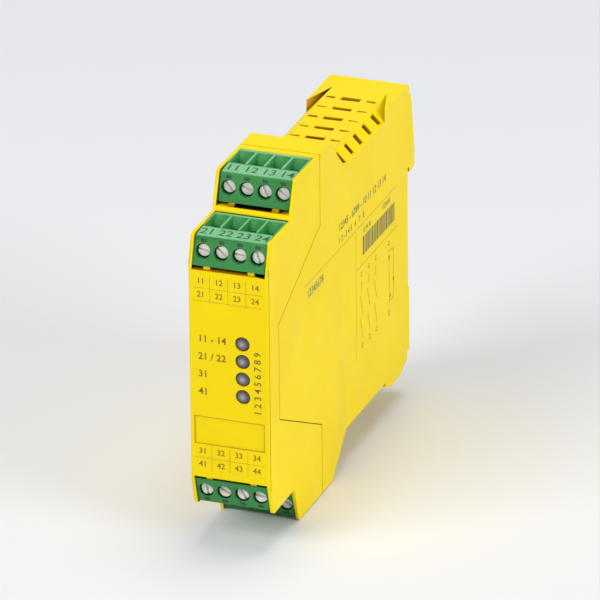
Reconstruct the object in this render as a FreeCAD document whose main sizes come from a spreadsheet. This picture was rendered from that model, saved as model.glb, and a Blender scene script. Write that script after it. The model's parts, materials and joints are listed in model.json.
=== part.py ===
import FreeCAD, Part
import math
import os
import re

import Sketcher

# A pluggable safety relay for a 35 mm DIN rail.  Millimetres, +Z up, the
# operating face towards -Y.  The origin lies on the centre line of the case,
# in the plane that seats on the rail and at the rail's mid-height.

os.makedirs("parts", exist_ok=True)
doc = FreeCAD.newDocument("safety_relay")

SIZES = {
    # case
    "case_width": 22.5, "case_height": 99.0, "seat_depth": 108.6,
    "side_wall": 1.0, "case_wall": 1.2, "front_wall": 1.6,
    "cut_past": 1.0, "edge_round": 0.8, "lower_lean": 2.8, "tier_pitch": 15.5, "upper_lean": 3.7,
    "crest_length": 26.0, "vent_drop": 7.5, "vent_bevel": 3.5, "shelf_rise": 1.2,
    # parting line between cover and housing
    "seam_depth": 40.0, "seam_height": 58.4, "seam_nose_depth": 8.0, "seam_nose_height": 27.6,
    # back of the housing
    "rail_height": 35.0, "rail_play": 0.2, "hook_slot": 1.3, "hook_grip": 1.7,
    "hook_reach": 5.9, "hook_height": 3.2, "hook_wall": 1.0, "hook_lip": 0.3, "hook_nose": 1.3,
    "back_lean": 2.1, "back_wall": 1.6, "back_room": 3.0, "lower_back": 1.2, "eaves_wall": 0.9,
    "foot_level": 12.8, "foot_length": 17.8, "foot_slope": 1.2, "hood_start": 1.0, "hood_back": 0.8,
    "hood_room": 4.1, "corner_length": 18.9, "corner_run": 12.0, "corner_flare": 0.5,
    "corner_drop": 5.8, "corner_slope": 1.0, "corner_lean": 1.3, "corner_top": 2.5,
    # vents
    "vent_first": 58.8, "vent_pitch": 7.0, "vent_rows": 5, "vent_slot": 2.0,
    "vent_centre_width": 5.5, "vent_side_width": 2.7, "vent_side_slot": 0.9, "vent_rib": 1.7,
    "bevel_slot": 2.2, "bevel_rim": 0.5, "eaves_rim": 0.1,
    # foot latch
    "latch_width": 14.0, "latch_gap": 0.2, "latch_guide": 1.0, "stem_depth": 3.9, "stem_root": 1.0,
    "guide_thick": 1.5, "guide_height": 13.0, "spring_room": 5.0, "channel_rise": 1.2,
    "handle_inset": 1.0, "handle_drop": 6.2, "handle_front": 1.0, "handle_lean": 1.4, "handle_lip": 1.5,
    "handle_ramp": 6.0, "heel_length": 5.3, "heel_bulge": 0.4, "heel_height": 2.7, "heel_reach": 1.2,
    "nose_grip": 3.0, "nose_thick": 1.6, "nose_foot": 3.5, "nose_neck": 1.5, "nose_bevel": 0.8,
    "nose_lead": 0.4,
    # plugs
    "poles": 4, "plug_end": 2.53, "plug_height": 8.0, "plug_length": 15.0,
    "plug_gap": 0.1, "plug_sink": 0.2, "lever_gap": 1.0, "face_tilt": 17.0,
    "strip_length": 5.3, "strip_fall": 0.5, "nib_width": 1.9, "nib_offset": 6.2, "nib_inset": 1.0,
    "nib_length": 13.5, "nib_root": 0.5, "tongue_length": 6.0, "tongue_height": 3.6,
    "tongue_inset": 1.25, "tongue_level": 7.6, "socket_width": 2.8,
    "socket_spring": 0.6, "socket_end": 0.5,
    # terminal clamp
    "screw_level": 4.4, "head_radius": 1.75, "head_height": 1.5, "head_clearance": 0.3,
    "shank_radius": 1.45, "shank_gap": 0.15, "thread_gap": 0.05, "screw_length": 7.6, "head_wall": 0.8,
    "slot_width": 0.6, "slot_depth": 0.7, "cage_width": 4.0, "cage_height": 3.4,
    "cage_nut": 1.2, "cage_window": 4.6, "cage_back": 0.9, "cage_side": 0.5, "cage_travel": 2.5,
    "cage_rest": 0.5,
    "chamber_gap": 0.15, "chamber_back": 13.4,
    "funnel_width": 4.3, "funnel_length": 8.0, "funnel_depth": 2.3, "funnel_start": 5.8,
    "wire_width": 2.8, "wire_length": 2.6,
    # contacts and pin headers
    "bar_thick": 0.7, "bar_width": 2.4, "bar_gap": 0.2, "strip_gap": 0.1,
    "pin_size": 1.0, "pin_play": 0.1, "pin_level": 5.7, "pin_inset": 1.2,
    "header_wall": 0.8, "header_back": 1.4, "header_gap": 0.2, "header_set": 0.3,
    "tongue_room": 0.5, "tail_pitch": 1.4, "tail_gap": 0.6,
    # circuit board and what it carries
    "board_thick": 1.6, "board_gap": 0.25, "board_back": 7.6, "board_play": 0.4, "board_front": 1.0,
    "board_nose": 6.0, "notch_gap": 0.2, "foot_room": 0.6,
    "leds": 4, "led_offset": 3.9, "led_top": 10.3, "led_pitch": 5.08, "led_size": 2.8, "led_length": 4.0,
    "led_gap": 0.3, "lead_size": 0.5, "lead_pitch": 1.3, "lead_end": 0.9,
    "lens_radius": 1.8, "lens_hole": 2.05, "lens_sink": 0.2,
    "guide_width": 5.2, "pipe_size": 2.6, "pipe_length": 6.0,
    "guide_length": 19.2,
    "field_inset": 1.45, "field_height": 7.9, "field_level": -16.2, "field_depth": 0.25,
    "relay_length": 28.0, "relay_width": 15.0, "relay_height": 12.6, "relay_gap": 1.6, "relay_end": 18.0,
    "can_radius": 5.0, "can_height": 13.0, "can_gap": 3.0, "coil_size": 14.0, "coil_height": 12.0,
    "coil_gap": 6.0, "core_width": 9.4, "core_rise": 3.0, "core_lip": 1.5,
    "chip_length": 5.0, "chip_height": 9.0, "chip_thick": 2.0, "chip_gap": 5.0, "chip_drop": 15.0,
    "chip_start": 12.0, "chip_pitch": 14.0, "chip_far": 50.0, "chip_level": 13.0,
}

sheet = doc.addObject("Spreadsheet::Sheet", "Size")
for row, (word, number) in enumerate(SIZES.items(), start=1):
    sheet.set(f"A{row}", word)
    sheet.set(f"B{row}", str(number))
    sheet.setAlias(f"B{row}", word)
doc.recompute()


def bound(text):
    """Point the size names in an expression at their cells in the sheet."""
    def cell(match):
        word = match.group()
        return f"Size.{word}" if word in SIZES else word
    return re.sub(r"[a-z][a-z_]*", cell, text)


# ---------------------------------------------------------------- helpers

def new_body(name, compound=False):
    body = doc.addObject("PartDesign::Body", name)
    body.Label = name
    body.AllowCompound = compound
    return body


def new_sketch(body, name, plane, offset=None):
    """A sketch on one of the body's own planes, shifted along its normal."""
    sketch = body.newObject("Sketcher::SketchObject", name)
    support = [f for f in body.Origin.OriginFeatures if f.Role == plane][0]
    sketch.AttachmentSupport = [(support, "")]
    sketch.MapMode = "FlatFace"
    if offset is not None:
        sketch.setExpression("AttachmentOffset.Base.z", bound(offset))
    return sketch


def locate(sketch, edge, point, place, start):
    """Hold one point of a sketch at a pair of expressions."""
    for kind, text, value in zip(("DistanceX", "DistanceY"), place, start):
        index = sketch.addConstraint(Sketcher.Constraint(kind, -1, 1, edge, point, value))
        sketch.setExpression(f"Constraints[{index}]", bound(text))


def add_polygon(sketch, points):
    first = sketch.GeometryCount
    count = len(points)
    starts = []
    for i in range(count):
        angle = 2 * math.pi * i / count
        starts.append(FreeCAD.Vector(10 * math.cos(angle), 10 * math.sin(angle), 0))
    for i in range(count):
        sketch.addGeometry(Part.LineSegment(starts[i], starts[(i + 1) % count]), False)
    for i in range(count):
        following = first + (i + 1) % count
        sketch.addConstraint(Sketcher.Constraint("Coincident", first + i, 2, following, 1))
    for i, place in enumerate(points):
        locate(sketch, first + i, 1, place, (starts[i].x, starts[i].y))


def add_circle(sketch, place, radius):
    edge = sketch.GeometryCount
    sketch.addGeometry(Part.Circle(FreeCAD.Vector(0, 0, 0), FreeCAD.Vector(0, 0, 1), 1.0), False)
    locate(sketch, edge, 3, place, (0.0, 0.0))
    index = sketch.addConstraint(Sketcher.Constraint("Radius", edge, 1.0))
    sketch.setExpression(f"Constraints[{index}]", bound(radius))


def rectangle(low_a, high_a, low_b, high_b):
    return [(low_a, low_b), (high_a, low_b), (high_a, high_b), (low_a, high_b)]


def feature(body, kind, name, sketch, length, symmetric=False, reverse=False):
    made = body.newObject(f"PartDesign::{kind}", name)
    made.Profile = sketch
    made.SideType = "Symmetric" if symmetric else "One side"
    made.Reversed = reverse
    made.setExpression("Length", bound(length))
    return made


def across(body, kind, name, width, points):
    """Pad or pocket a side outline (Y, Z), centred on the case, to a width in X."""
    sketch = new_sketch(body, f"{name}_outline", "YZ_Plane")
    add_polygon(sketch, points)
    return feature(body, kind, name, sketch, width, symmetric=True)


def along(body, kind, name, start, length, shapes):
    """Pad or pocket shapes drawn in (X, Z) from the plane Y = start towards +Y."""
    sketch = new_sketch(body, f"{name}_section", "XZ_Plane", f"-({start})")
    for shape in shapes:
        if isinstance(shape, list):
            add_polygon(sketch, shape)
        else:
            add_circle(sketch, *shape)
    return feature(body, kind, name, sketch, length, reverse=(kind == "Pad"))


def down(body, kind, name, start, length, shapes, upward=False):
    """Pad or pocket shapes drawn in (X, Y) from the plane Z = start downwards."""
    sketch = new_sketch(body, f"{name}_plan", "XY_Plane", start)
    for shape in shapes:
        add_polygon(sketch, shape)
    return feature(body, kind, name, sketch, length, reverse=((kind == "Pad") != upward))


def repeat(body, name, originals, axis, count, pitch):
    pattern = body.newObject("PartDesign::LinearPattern", name)
    pattern.Originals = originals
    direction = [f for f in body.Origin.OriginFeatures if f.Role == axis][0]
    pattern.Direction = (direction, [""])
    pattern.Mode = "Spacing"
    pattern.setExpression("Occurrences", bound(count))
    pattern.setExpression("Offset", bound(pitch))
    body.Tip = pattern
    return pattern


def round_edges(body, name, radius, wanted):
    """Fillet the edges of the body's tip that a test picks out."""
    doc.recompute()
    base = body.Tip
    names = [f"Edge{i}" for i, edge in enumerate(base.Shape.Edges, start=1) if wanted(edge)]
    fillet = body.newObject("PartDesign::Fillet", name)
    fillet.Base = (base, names)
    fillet.setExpression("Radius", bound(radius))
    return fillet


def runs_along(edge, axis):
    ends = [vertex.Point for vertex in edge.Vertexes]
    if len(ends) != 2:
        return False
    step = ends[1] - ends[0]
    return step.Length > 1e-6 and abs(step.normalize().dot(axis)) > 0.9999


def block(name, low, high):
    """A plain box between two corners, each given as three expressions."""
    box = doc.addObject("Part::Box", name)
    for side, axis, start, end in zip(("Length", "Width", "Height"), "xyz", low, high):
        box.setExpression(side, bound(f"({end}) - ({start})"))
        box.setExpression(f"Placement.Base.{axis}", bound(start))
    return box


def joined(name, pieces):
    made = doc.addObject("Part::MultiFuse", name)
    made.Shapes = pieces
    made.Refine = True
    return made


def grouped(name, pieces):
    made = doc.addObject("Part::Compound", name)
    made.Links = pieces
    made.Label = name
    return made


def place(node, y="0", z="0", x="0", over=False, turn=None):
    """Set a sub-part in the frame; over turns it upside down about Y."""
    if over:
        node.Placement = FreeCAD.Placement(FreeCAD.Vector(), FreeCAD.Vector(0, 1, 0), 180)
    if turn is not None:
        node.Placement = FreeCAD.Placement(FreeCAD.Vector(), FreeCAD.Vector(0, 1, 0), turn)
    for axis, text in zip("xyz", (x, y, z)):
        node.setExpression(f"Placement.Base.{axis}", bound(text))
    return node


X_AXIS = FreeCAD.Vector(1, 0, 0)
Z_AXIS = FreeCAD.Vector(0, 0, 1)
nodes = []

# ------------------------------------------------- places worked out once

HALF_WIDTH = "case_width / 2"
INNER_WIDTH = "case_width - 2 * side_wall"
FACE_Y = "-seat_depth"
TOP_Z = "case_height / 2"
BAY_HEIGHT = "(plug_sink + plug_height + lever_gap)"
SHELF_Z = f"({TOP_Z} - {BAY_HEIGHT})"
STEP_Z = f"({SHELF_Z} - shelf_rise)"
FACE_Z = f"({STEP_Z} - {BAY_HEIGHT})"
STEP_Y = f"({FACE_Y} + lower_lean)"
TIER_Y = f"({STEP_Y} + tier_pitch)"
CREST_Y = f"({TIER_Y} + upper_lean)"
PLUG_WIDTH = "(case_width - 2 * side_wall - 2 * plug_gap)"
PITCH = f"(({PLUG_WIDTH} - 2 * plug_end) / (poles - 1))"
FIRST_POLE = f"(plug_end - {PLUG_WIDTH} / 2)"
TONGUE_WIDTH = f"({PLUG_WIDTH} - 2 * tongue_inset)"
CREST_END = f"({CREST_Y} + crest_length)"
VENT_Z = f"({TOP_Z} - vent_drop)"
VENT_Y = f"({CREST_END} + vent_drop)"
EAVES_Z = f"({VENT_Z} - vent_bevel)"
EAVES_Y = f"({VENT_Y} + vent_bevel)"
SEAM_Y = f"({FACE_Y} + seam_depth)"
SEAM_NOSE_Y = f"({FACE_Y} + seam_nose_depth)"
RAIL_EDGE = "(rail_height / 2 + rail_play)"
FOOT_Z = f"(foot_level - {TOP_Z})"
BACK_Y = "(hook_reach - back_lean)"
BACK_Z = f"({VENT_Z} - corner_drop)"
POCKET_END = f"({CREST_Y} + 2 * plug_sink + plug_length)"
CAVITY_EAVES = f"({EAVES_Z} - eaves_wall)"
SLOPE_IN = "case_wall * (sqrt(2) - 1)"
CHANNEL_Y = "-(stem_depth + latch_gap)"


def mirrored(points):
    """Close an upper outline with its reflection in the plane Z = 0."""
    return points + [(y, f"-({z})") for y, z in reversed(points)]


# ------------------------------------------------------------ front cover

cover = new_body("front_cover")
across(cover, "Pad", "cover_block", "case_width", mirrored([
    (SEAM_NOSE_Y, "seam_nose_height / 2"),
    (SEAM_Y, "seam_height / 2"),
    (SEAM_Y, TOP_Z),
    (CREST_Y, TOP_Z),
    (TIER_Y, STEP_Z),
    (STEP_Y, STEP_Z),
    (FACE_Y, FACE_Z)]))


def cover_edge(edge):
    """The upright corners of the face and the outer corners of the cheeks."""
    box = edge.BoundBox
    if runs_along(edge, X_AXIS):
        seam_y = SIZES["seam_depth"] - SIZES["seat_depth"]
        tier_y = SIZES["lower_lean"] + SIZES["tier_pitch"] - SIZES["seat_depth"]
        on_seam = box.YMax > SIZES["seam_nose_depth"] - SIZES["seat_depth"] - 0.01 and (
            box.YMax > seam_y - 0.01 or abs(box.ZMax) < SIZES["seam_nose_height"])
        return not on_seam and abs(box.YMin - tier_y) > 0.01
    return runs_along(edge, Z_AXIS) and box.YMax < 0.01 - SIZES["seat_depth"]


round_edges(cover, "cover_rounds", "edge_round", cover_edge)
across(cover, "Pocket", "cover_cavity", INNER_WIDTH, mirrored([
    (f"{FACE_Y} + front_wall", f"{FACE_Z} - case_wall"),
    (f"{TIER_Y} + case_wall", f"{FACE_Z} - case_wall"),
    (f"{TIER_Y} + case_wall", f"{SHELF_Z} - case_wall"),
    (f"{POCKET_END} + case_wall", f"{SHELF_Z} - case_wall"),
    (f"{POCKET_END} + case_wall", f"{TOP_Z} - case_wall"),
    (f"{SEAM_Y} + cut_past", f"{TOP_Z} - case_wall")]))
for side, sign in (("upper", ""), ("lower", "-")):
    across(cover, "Pocket", f"{side}_tiers", f"{PLUG_WIDTH} + 2 * plug_gap", [
        (y, f"{sign}({z})") for y, z in (
            (f"{FACE_Y} - cut_past", FACE_Z), (TIER_Y, FACE_Z), (TIER_Y, SHELF_Z), (POCKET_END, SHELF_Z),
            (POCKET_END, f"{TOP_Z} + cut_past"), (f"{FACE_Y} - cut_past", f"{TOP_Z} + cut_past"))])

HEADER_TOP = "(plug_sink + tongue_level - tongue_height - header_gap - header_wall)"
HEADER_BOTTOM = "(plug_sink + tongue_level + header_gap + header_wall)"
HEADER_WIDTH = f"({TONGUE_WIDTH} + 2 * header_gap + 2 * header_wall)"
for tier, wall_y, level in (("front", TIER_Y, STEP_Z), ("rear", POCKET_END, TOP_Z)):
    for side, sign in (("upper", ""), ("lower", "-")):
        across(cover, "Pocket", f"{side}_{tier}_window", f"{HEADER_WIDTH} + 2 * plug_gap", rectangle(
            f"{wall_y} - cut_past", f"{wall_y} + case_wall + cut_past",
            f"{sign}({level} - {HEADER_BOTTOM} - plug_gap)", f"{sign}({level} - {HEADER_TOP} + plug_gap)"))

for tier, front_y, floor, level in (
        ("front", f"{FACE_Y} + nib_inset", FACE_Z, f"{STEP_Z} - plug_sink - plug_height"),
        ("rear", f"{TIER_Y} + nib_inset", SHELF_Z, f"{TOP_Z} - plug_sink - plug_height")):
    for side, sign in (("upper", ""), ("lower", "-")):
        along(cover, "Pad", f"{side}_{tier}_nibs", front_y, "nib_length", [
            rectangle(f"{hand}nib_offset - nib_width / 2", f"{hand}nib_offset + nib_width / 2",
                      f"{sign}({floor} - nib_root)", f"{sign}({level} - plug_gap)")
            for hand in ("", "-")])
along(cover, "Pocket", "lens_holes", f"{FACE_Y} - cut_past", "front_wall + 2 * cut_past", [
    (("led_offset", f"led_top - {i} * led_pitch"), "lens_hole") for i in range(SIZES["leds"])])
along(cover, "Pocket", "marking_field", f"{FACE_Y} - cut_past", "cut_past + field_depth", [
    rectangle(f"field_inset - {HALF_WIDTH}", f"{HALF_WIDTH} - field_inset",
              "field_level - field_height / 2", "field_level + field_height / 2")])
nodes.append(cover)

# ------------------------------------------------------------ rear housing

housing = new_body("rear_housing")
across(housing, "Pad", "housing_block", "case_width", [
    (SEAM_NOSE_Y, "seam_nose_height / 2"),
    (SEAM_Y, "seam_height / 2"),
    (SEAM_Y, TOP_Z),
    (CREST_END, TOP_Z),
    (EAVES_Y, EAVES_Z),
    (f"{BACK_Y} - corner_slope", EAVES_Z),
    (BACK_Y, BACK_Z),
    ("hook_reach", f"{RAIL_EDGE} + hook_height"),
    ("hook_reach", f"{RAIL_EDGE} - hook_lip"),
    ("hook_reach - hook_nose", f"{RAIL_EDGE} - hook_grip"),
    ("hook_slot", f"{RAIL_EDGE} - hook_grip"),
    ("hook_slot", RAIL_EDGE),
    ("0", RAIL_EDGE),
    ("0", f"-{RAIL_EDGE}"),
    ("lower_back", f"-{RAIL_EDGE}"),
    ("lower_back", FOOT_Z),
    ("-foot_length", FOOT_Z),
    ("-foot_length - foot_slope", f"-{EAVES_Z}"),
    (EAVES_Y, f"-{EAVES_Z}"),
    (CREST_END, f"-({TOP_Z})"),
    (SEAM_Y, f"-({TOP_Z})"),
    (SEAM_Y, "-seam_height / 2"),
    (SEAM_NOSE_Y, "-seam_nose_height / 2")])
across(housing, "Pad", "top_corner", "case_width", [
    ("-corner_length", f"{EAVES_Z} - cut_past"),
    (f"{BACK_Y} - corner_lean", f"{EAVES_Z} - cut_past"),
    (f"{BACK_Y} - corner_top", VENT_Z),
    ("-corner_length", VENT_Z)])
down(housing, "Pocket", "corner_run_outs", f"{VENT_Z} + cut_past", "vent_bevel + cut_past", [
    [(f"{hand}({HALF_WIDTH} - vent_bevel)", "-corner_length - cut_past"),
     (f"{hand}({HALF_WIDTH} - vent_bevel)", "corner_run - corner_length"),
     (f"{hand}({HALF_WIDTH} + corner_flare)", "-corner_length - cut_past")] for hand in ("", "-")])
HOOD_FRONT = f"({CREST_END} + hood_start)"
for side, sign, end in (("top", "", "corner_run - corner_length + cut_past"),
                        ("bottom", "-", "-foot_length - hood_back")):
    along(housing, "Pad", f"{side}_hood", HOOD_FRONT, f"{end} - {HOOD_FRONT}", [[
        (f"-{HALF_WIDTH}", f"{sign}{EAVES_Z}"),
        (f"vent_bevel - {HALF_WIDTH}", f"{sign}{VENT_Z}"),
        (f"{HALF_WIDTH} - vent_bevel", f"{sign}{VENT_Z}"),
        (HALF_WIDTH, f"{sign}{EAVES_Z}")]])
CHANNEL_WALL = f"({CHANNEL_Y} - case_wall)"
across(housing, "Pocket", "wide_cavity", INNER_WIDTH, [
    (FACE_Y, f"{TOP_Z} - case_wall"),
    (f"{CREST_END} - {SLOPE_IN}", f"{TOP_Z} - case_wall"),
    (f"{EAVES_Y} - {SLOPE_IN} - case_wall + eaves_wall", CAVITY_EAVES),
    (f"{BACK_Y} - back_room", CAVITY_EAVES),
    ("hook_reach - back_wall", f"{RAIL_EDGE} + hook_height + hook_wall"),
    ("-back_wall", f"{RAIL_EDGE} + back_wall"),
    ("-back_wall", "nose_grip - rail_height / 2"),
    (CHANNEL_WALL, "nose_grip - rail_height / 2"),
    (CHANNEL_WALL, f"{FOOT_Z} + case_wall"),
    ("-foot_length - case_wall", f"{FOOT_Z} + case_wall"),
    ("-foot_length - case_wall", f"-{CAVITY_EAVES}"),
    (f"{EAVES_Y} - {SLOPE_IN} - case_wall + eaves_wall", f"-{CAVITY_EAVES}"),
    (f"{CREST_END} - {SLOPE_IN}", f"case_wall - {TOP_Z}"),
    (FACE_Y, f"case_wall - {TOP_Z}")])
across(housing, "Pocket", "hood_cavity", "case_width - 2 * vent_bevel - case_wall", [
    (f"{VENT_Y} - {SLOPE_IN}", f"{VENT_Z} - case_wall"),
    (f"{BACK_Y} - hood_room", f"{VENT_Z} - case_wall"),
    (f"{BACK_Y} - hood_room", "0"),
    ("-foot_length - 2 * case_wall", "0"),
    ("-foot_length - 2 * case_wall", f"case_wall - {VENT_Z}"),
    (f"{VENT_Y} - {SLOPE_IN}", f"case_wall - {VENT_Z}")])
across(housing, "Pocket", "latch_channel", "latch_width + 2 * latch_gap", rectangle(
    CHANNEL_Y, "lower_back + cut_past", f"{FOOT_Z} - cut_past", f"channel_rise - {RAIL_EDGE}"))
across(housing, "Pocket", "latch_groove", "latch_width + 2 * latch_guide + 2 * latch_gap", rectangle(
    CHANNEL_Y, f"{CHANNEL_Y} + guide_thick + 2 * latch_gap", f"{FOOT_Z} - cut_past",
    f"{FOOT_Z} + guide_height + spring_room"))

FIRST_ROW = f"({FACE_Y} + vent_first)"
SIDE_VENT = "(vent_centre_width / 2 + vent_rib)"
SIDE_ROW = f"({FIRST_ROW} + vent_pitch + (vent_slot - vent_side_slot) / 2)"
VENT_CUT = "case_wall + 2 * cut_past"
for side, sign, upward in (("top", "", False), ("bottom", "-", True)):
    above = f"{sign}({VENT_Z} + cut_past)"
    centre = down(housing, "Pocket", f"{side}_centre_vent", above, VENT_CUT, [
        rectangle("-vent_centre_width / 2", "vent_centre_width / 2",
                  f"{FIRST_ROW} + vent_pitch", f"{FIRST_ROW} + vent_pitch + vent_slot")], upward)
    flanks = down(housing, "Pocket", f"{side}_flank_vent", above, VENT_CUT, [
        rectangle(f"{hand}{SIDE_VENT}", f"{hand}({SIDE_VENT} + vent_side_width)",
                  SIDE_ROW, f"{SIDE_ROW} + vent_side_slot")
        for hand in ("", "-")], upward)
    rows = "vent_rows" if side == "top" else "vent_rows - 1"
    repeat(housing, f"{side}_flat_vents", [centre, flanks], "Y_Axis", rows, "vent_pitch")

INNER_CORNER = f"({HALF_WIDTH} - side_wall)"
HOOD_SIDE = f"({HALF_WIDTH} - vent_bevel - case_wall)"
bevel_vent = along(housing, "Pocket", "bevel_vent", FIRST_ROW, "bevel_slot", [[
    (f"{hand}({x})", f"{sign}({z})") for x, z in (
        (f"{HALF_WIDTH} - vent_bevel + bevel_rim", f"{VENT_Z} + cut_past"),
        (f"{HALF_WIDTH} + cut_past", f"{VENT_Z} + cut_past"),
        (f"{HALF_WIDTH} + cut_past", f"{EAVES_Z} + eaves_rim"),
        (INNER_CORNER, f"{EAVES_Z} + eaves_rim"),
        (INNER_CORNER, f"{CAVITY_EAVES} - cut_past"),
        (HOOD_SIDE, f"{CAVITY_EAVES} - cut_past"),
        (HOOD_SIDE, f"{VENT_Z} - case_wall"),
        (f"{HALF_WIDTH} - vent_bevel + bevel_rim", f"{VENT_Z} - case_wall"))]
    for hand in ("", "-") for sign in ("", "-")])
repeat(housing, "bevel_vents", [bevel_vent], "Y_Axis", "vent_rows", "vent_pitch")
nodes.append(housing)

# -------------------------------------------------------------- foot latch

latch = new_body("foot_latch")
HANDLE_TOP = f"({FOOT_Z} - latch_gap)"
HANDLE_BOTTOM = f"({FOOT_Z} - handle_drop)"
across(latch, "Pad", "handle", "case_width - 2 * handle_inset", [
    ("handle_front - foot_length", HANDLE_TOP),
    ("handle_front + handle_lean - foot_length", f"{HANDLE_BOTTOM} + handle_lip"),
    ("handle_front + handle_ramp - foot_length", HANDLE_BOTTOM),
    ("lower_back - heel_length", HANDLE_BOTTOM),
    ("lower_back + heel_bulge", f"{HANDLE_BOTTOM} + heel_height"),
    ("lower_back + heel_reach", HANDLE_TOP)])
NOSE_TOP = "(nose_grip - rail_height / 2)"
across(latch, "Pad", "stem", "latch_width", [
    ("-stem_depth", f"{HANDLE_TOP} - stem_root"),
    ("lower_back", f"{HANDLE_TOP} - stem_root"),
    ("lower_back", f"-{RAIL_EDGE} - nose_foot"),
    ("hook_slot + nose_thick", f"-{RAIL_EDGE} - nose_neck"),
    ("hook_slot + nose_thick", f"{NOSE_TOP} - nose_bevel"),
    ("hook_slot + nose_lead", NOSE_TOP),
    ("hook_slot", NOSE_TOP),
    ("hook_slot", f"-{RAIL_EDGE} - latch_gap"),
    ("-stem_depth", f"-{RAIL_EDGE} - latch_gap")])
across(latch, "Pad", "guides", "latch_width + 2 * latch_guide", rectangle(
    "-stem_depth", "guide_thick - stem_depth", f"{HANDLE_TOP} - stem_root", f"{FOOT_Z} + guide_height"))
nodes.append(latch)

# ------------------------------------------------------------------- plugs

CHAMBER_FRONT = "(head_height + head_wall)"
CAGE_FRONT = f"({CHAMBER_FRONT} + cage_rest + cage_travel)"
CAGE_LENGTH = "(cage_nut + cage_window + cage_back)"
CHAMBER_SIDE = "(cage_width / 2 + chamber_gap)"
CHAMBER_TOP = "(-screw_level + cage_height / 2 + chamber_gap)"
BAR_TOP = "(-screw_level - cage_height / 2 - bar_gap)"
BAR_BOTTOM = f"({BAR_TOP} - bar_thick)"
BAR_FRONT = "(screw_length + bar_gap)"
WIRE_FRONT = f"({BAR_FRONT} + bar_thick + strip_gap)"
TONGUE_END = "(plug_length + tongue_length)"
SOCKET_TOP = "(-pin_level + pin_size / 2 + pin_play + socket_spring)"
PIN_WAY = "(pin_size / 2 + pin_play)"
FACE_LEAN = "(plug_height - strip_fall) * tan(face_tilt)"


def make_plug(name):
    body = new_body(name)
    across(body, "Pad", "plug_block", PLUG_WIDTH, [
        ("0", "-strip_fall"),
        ("strip_length", "0"),
        ("plug_length", "0"),
        ("plug_length", "-plug_height"),
        (f"-{FACE_LEAN}", "-plug_height")])
    across(body, "Pad", "tongue", TONGUE_WIDTH, rectangle(
        "plug_length - cut_past", TONGUE_END, "-tongue_level", "tongue_height - tongue_level"))
    hole = along(body, "Pocket", "screw_hole", f"-{FACE_LEAN} - cut_past",
                 f"{FACE_LEAN} + cut_past + head_height", [
        ((FIRST_POLE, "-screw_level"), "head_radius + head_clearance")])
    shank_way = "shank_radius + shank_gap"
    bore = along(body, "Pocket", "shank_way", "head_height - cut_past", "head_wall + 2 * cut_past", [
        rectangle(f"{FIRST_POLE} - ({shank_way})", f"{FIRST_POLE} + {shank_way}",
                  f"-screw_level - ({shank_way})", f"-screw_level + {shank_way}")])
    chamber = along(body, "Pocket", "clamp_chamber", CHAMBER_FRONT, f"chamber_back - {CHAMBER_FRONT}", [
        rectangle(f"{FIRST_POLE} - {CHAMBER_SIDE}", f"{FIRST_POLE} + {CHAMBER_SIDE}",
                  BAR_BOTTOM, CHAMBER_TOP)])
    socket_run = f"{TONGUE_END} - chamber_back + 2 * cut_past"
    socket = along(body, "Pocket", "socket", "chamber_back - cut_past", socket_run, [
        rectangle(f"{FIRST_POLE} - socket_width / 2", f"{FIRST_POLE} + socket_width / 2",
                  BAR_BOTTOM, SOCKET_TOP)])
    wire = down(body, "Pocket", "wire_way", "cut_past", f"2 * cut_past - {CHAMBER_TOP}", [
        rectangle(f"{FIRST_POLE} - wire_width / 2", f"{FIRST_POLE} + wire_width / 2",
                  WIRE_FRONT, f"{WIRE_FRONT} + wire_length")])
    repeat(body, "pole_row", [hole, bore, chamber, socket, wire], "X_Axis", "poles", PITCH)
    for pole in range(SIZES["poles"]):
        middle = f"({FIRST_POLE} + {pole} * {PITCH})"
        funnel = body.newObject("PartDesign::SubtractiveWedge", f"funnel_{pole + 1}")
        funnel.Placement = FreeCAD.Placement(FreeCAD.Vector(), X_AXIS, 90)
        for side, text in (
                ("Ymin", "-funnel_depth"), ("Ymax", "0"),
                ("Xmin", f"{middle} - wire_width / 2"), ("Xmax", f"{middle} + wire_width / 2"),
                ("Zmin", f"-{WIRE_FRONT} - wire_length"), ("Zmax", f"-{WIRE_FRONT}"),
                ("X2min", f"{middle} - funnel_width / 2"), ("X2max", f"{middle} + funnel_width / 2"),
                ("Z2min", "-funnel_start - funnel_length"), ("Z2max", "-funnel_start")):
            funnel.setExpression(side, bound(text))
    return body


def make_screw(name):
    """A captive M3 terminal screw, head towards -Y, its seat at the head's back."""
    body = new_body(name)
    sketch = new_sketch(body, "half_section", "YZ_Plane")
    add_polygon(sketch, [
        ("0", "0"),
        ("0", "head_radius"),
        ("head_height", "head_radius"),
        ("head_height", "shank_radius"),
        ("screw_length", "shank_radius"),
        ("screw_length", "0")])
    turned = body.newObject("PartDesign::Revolution", "turned")
    turned.Profile = sketch
    turned.ReferenceAxis = ([f for f in body.Origin.OriginFeatures if f.Role == "Y_Axis"][0], [""])
    turned.Angle = 360
    along(body, "Pocket", "driver_slot", "-cut_past", "cut_past + slot_depth", [
        rectangle("-head_radius - cut_past", "head_radius + cut_past", "-slot_width / 2", "slot_width / 2")])
    return body


def make_cage(name):
    """A rising clamp cage, open top and bottom for the wire, threaded in front."""
    body = new_body(name)
    along(body, "Pad", "cage_block", "0", CAGE_LENGTH, [
        rectangle("-cage_width / 2", "cage_width / 2", "-cage_height / 2", "cage_height / 2")])
    down(body, "Pocket", "window", "cage_height", "2 * cage_height", [
        rectangle("cage_side - cage_width / 2", "cage_width / 2 - cage_side",
                  "cage_nut", "cage_nut + cage_window")])
    along(body, "Pocket", "thread", "-cut_past", "cage_nut + 2 * cut_past", [
        (("0", "0"), "shank_radius + thread_gap")])
    return body


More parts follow.
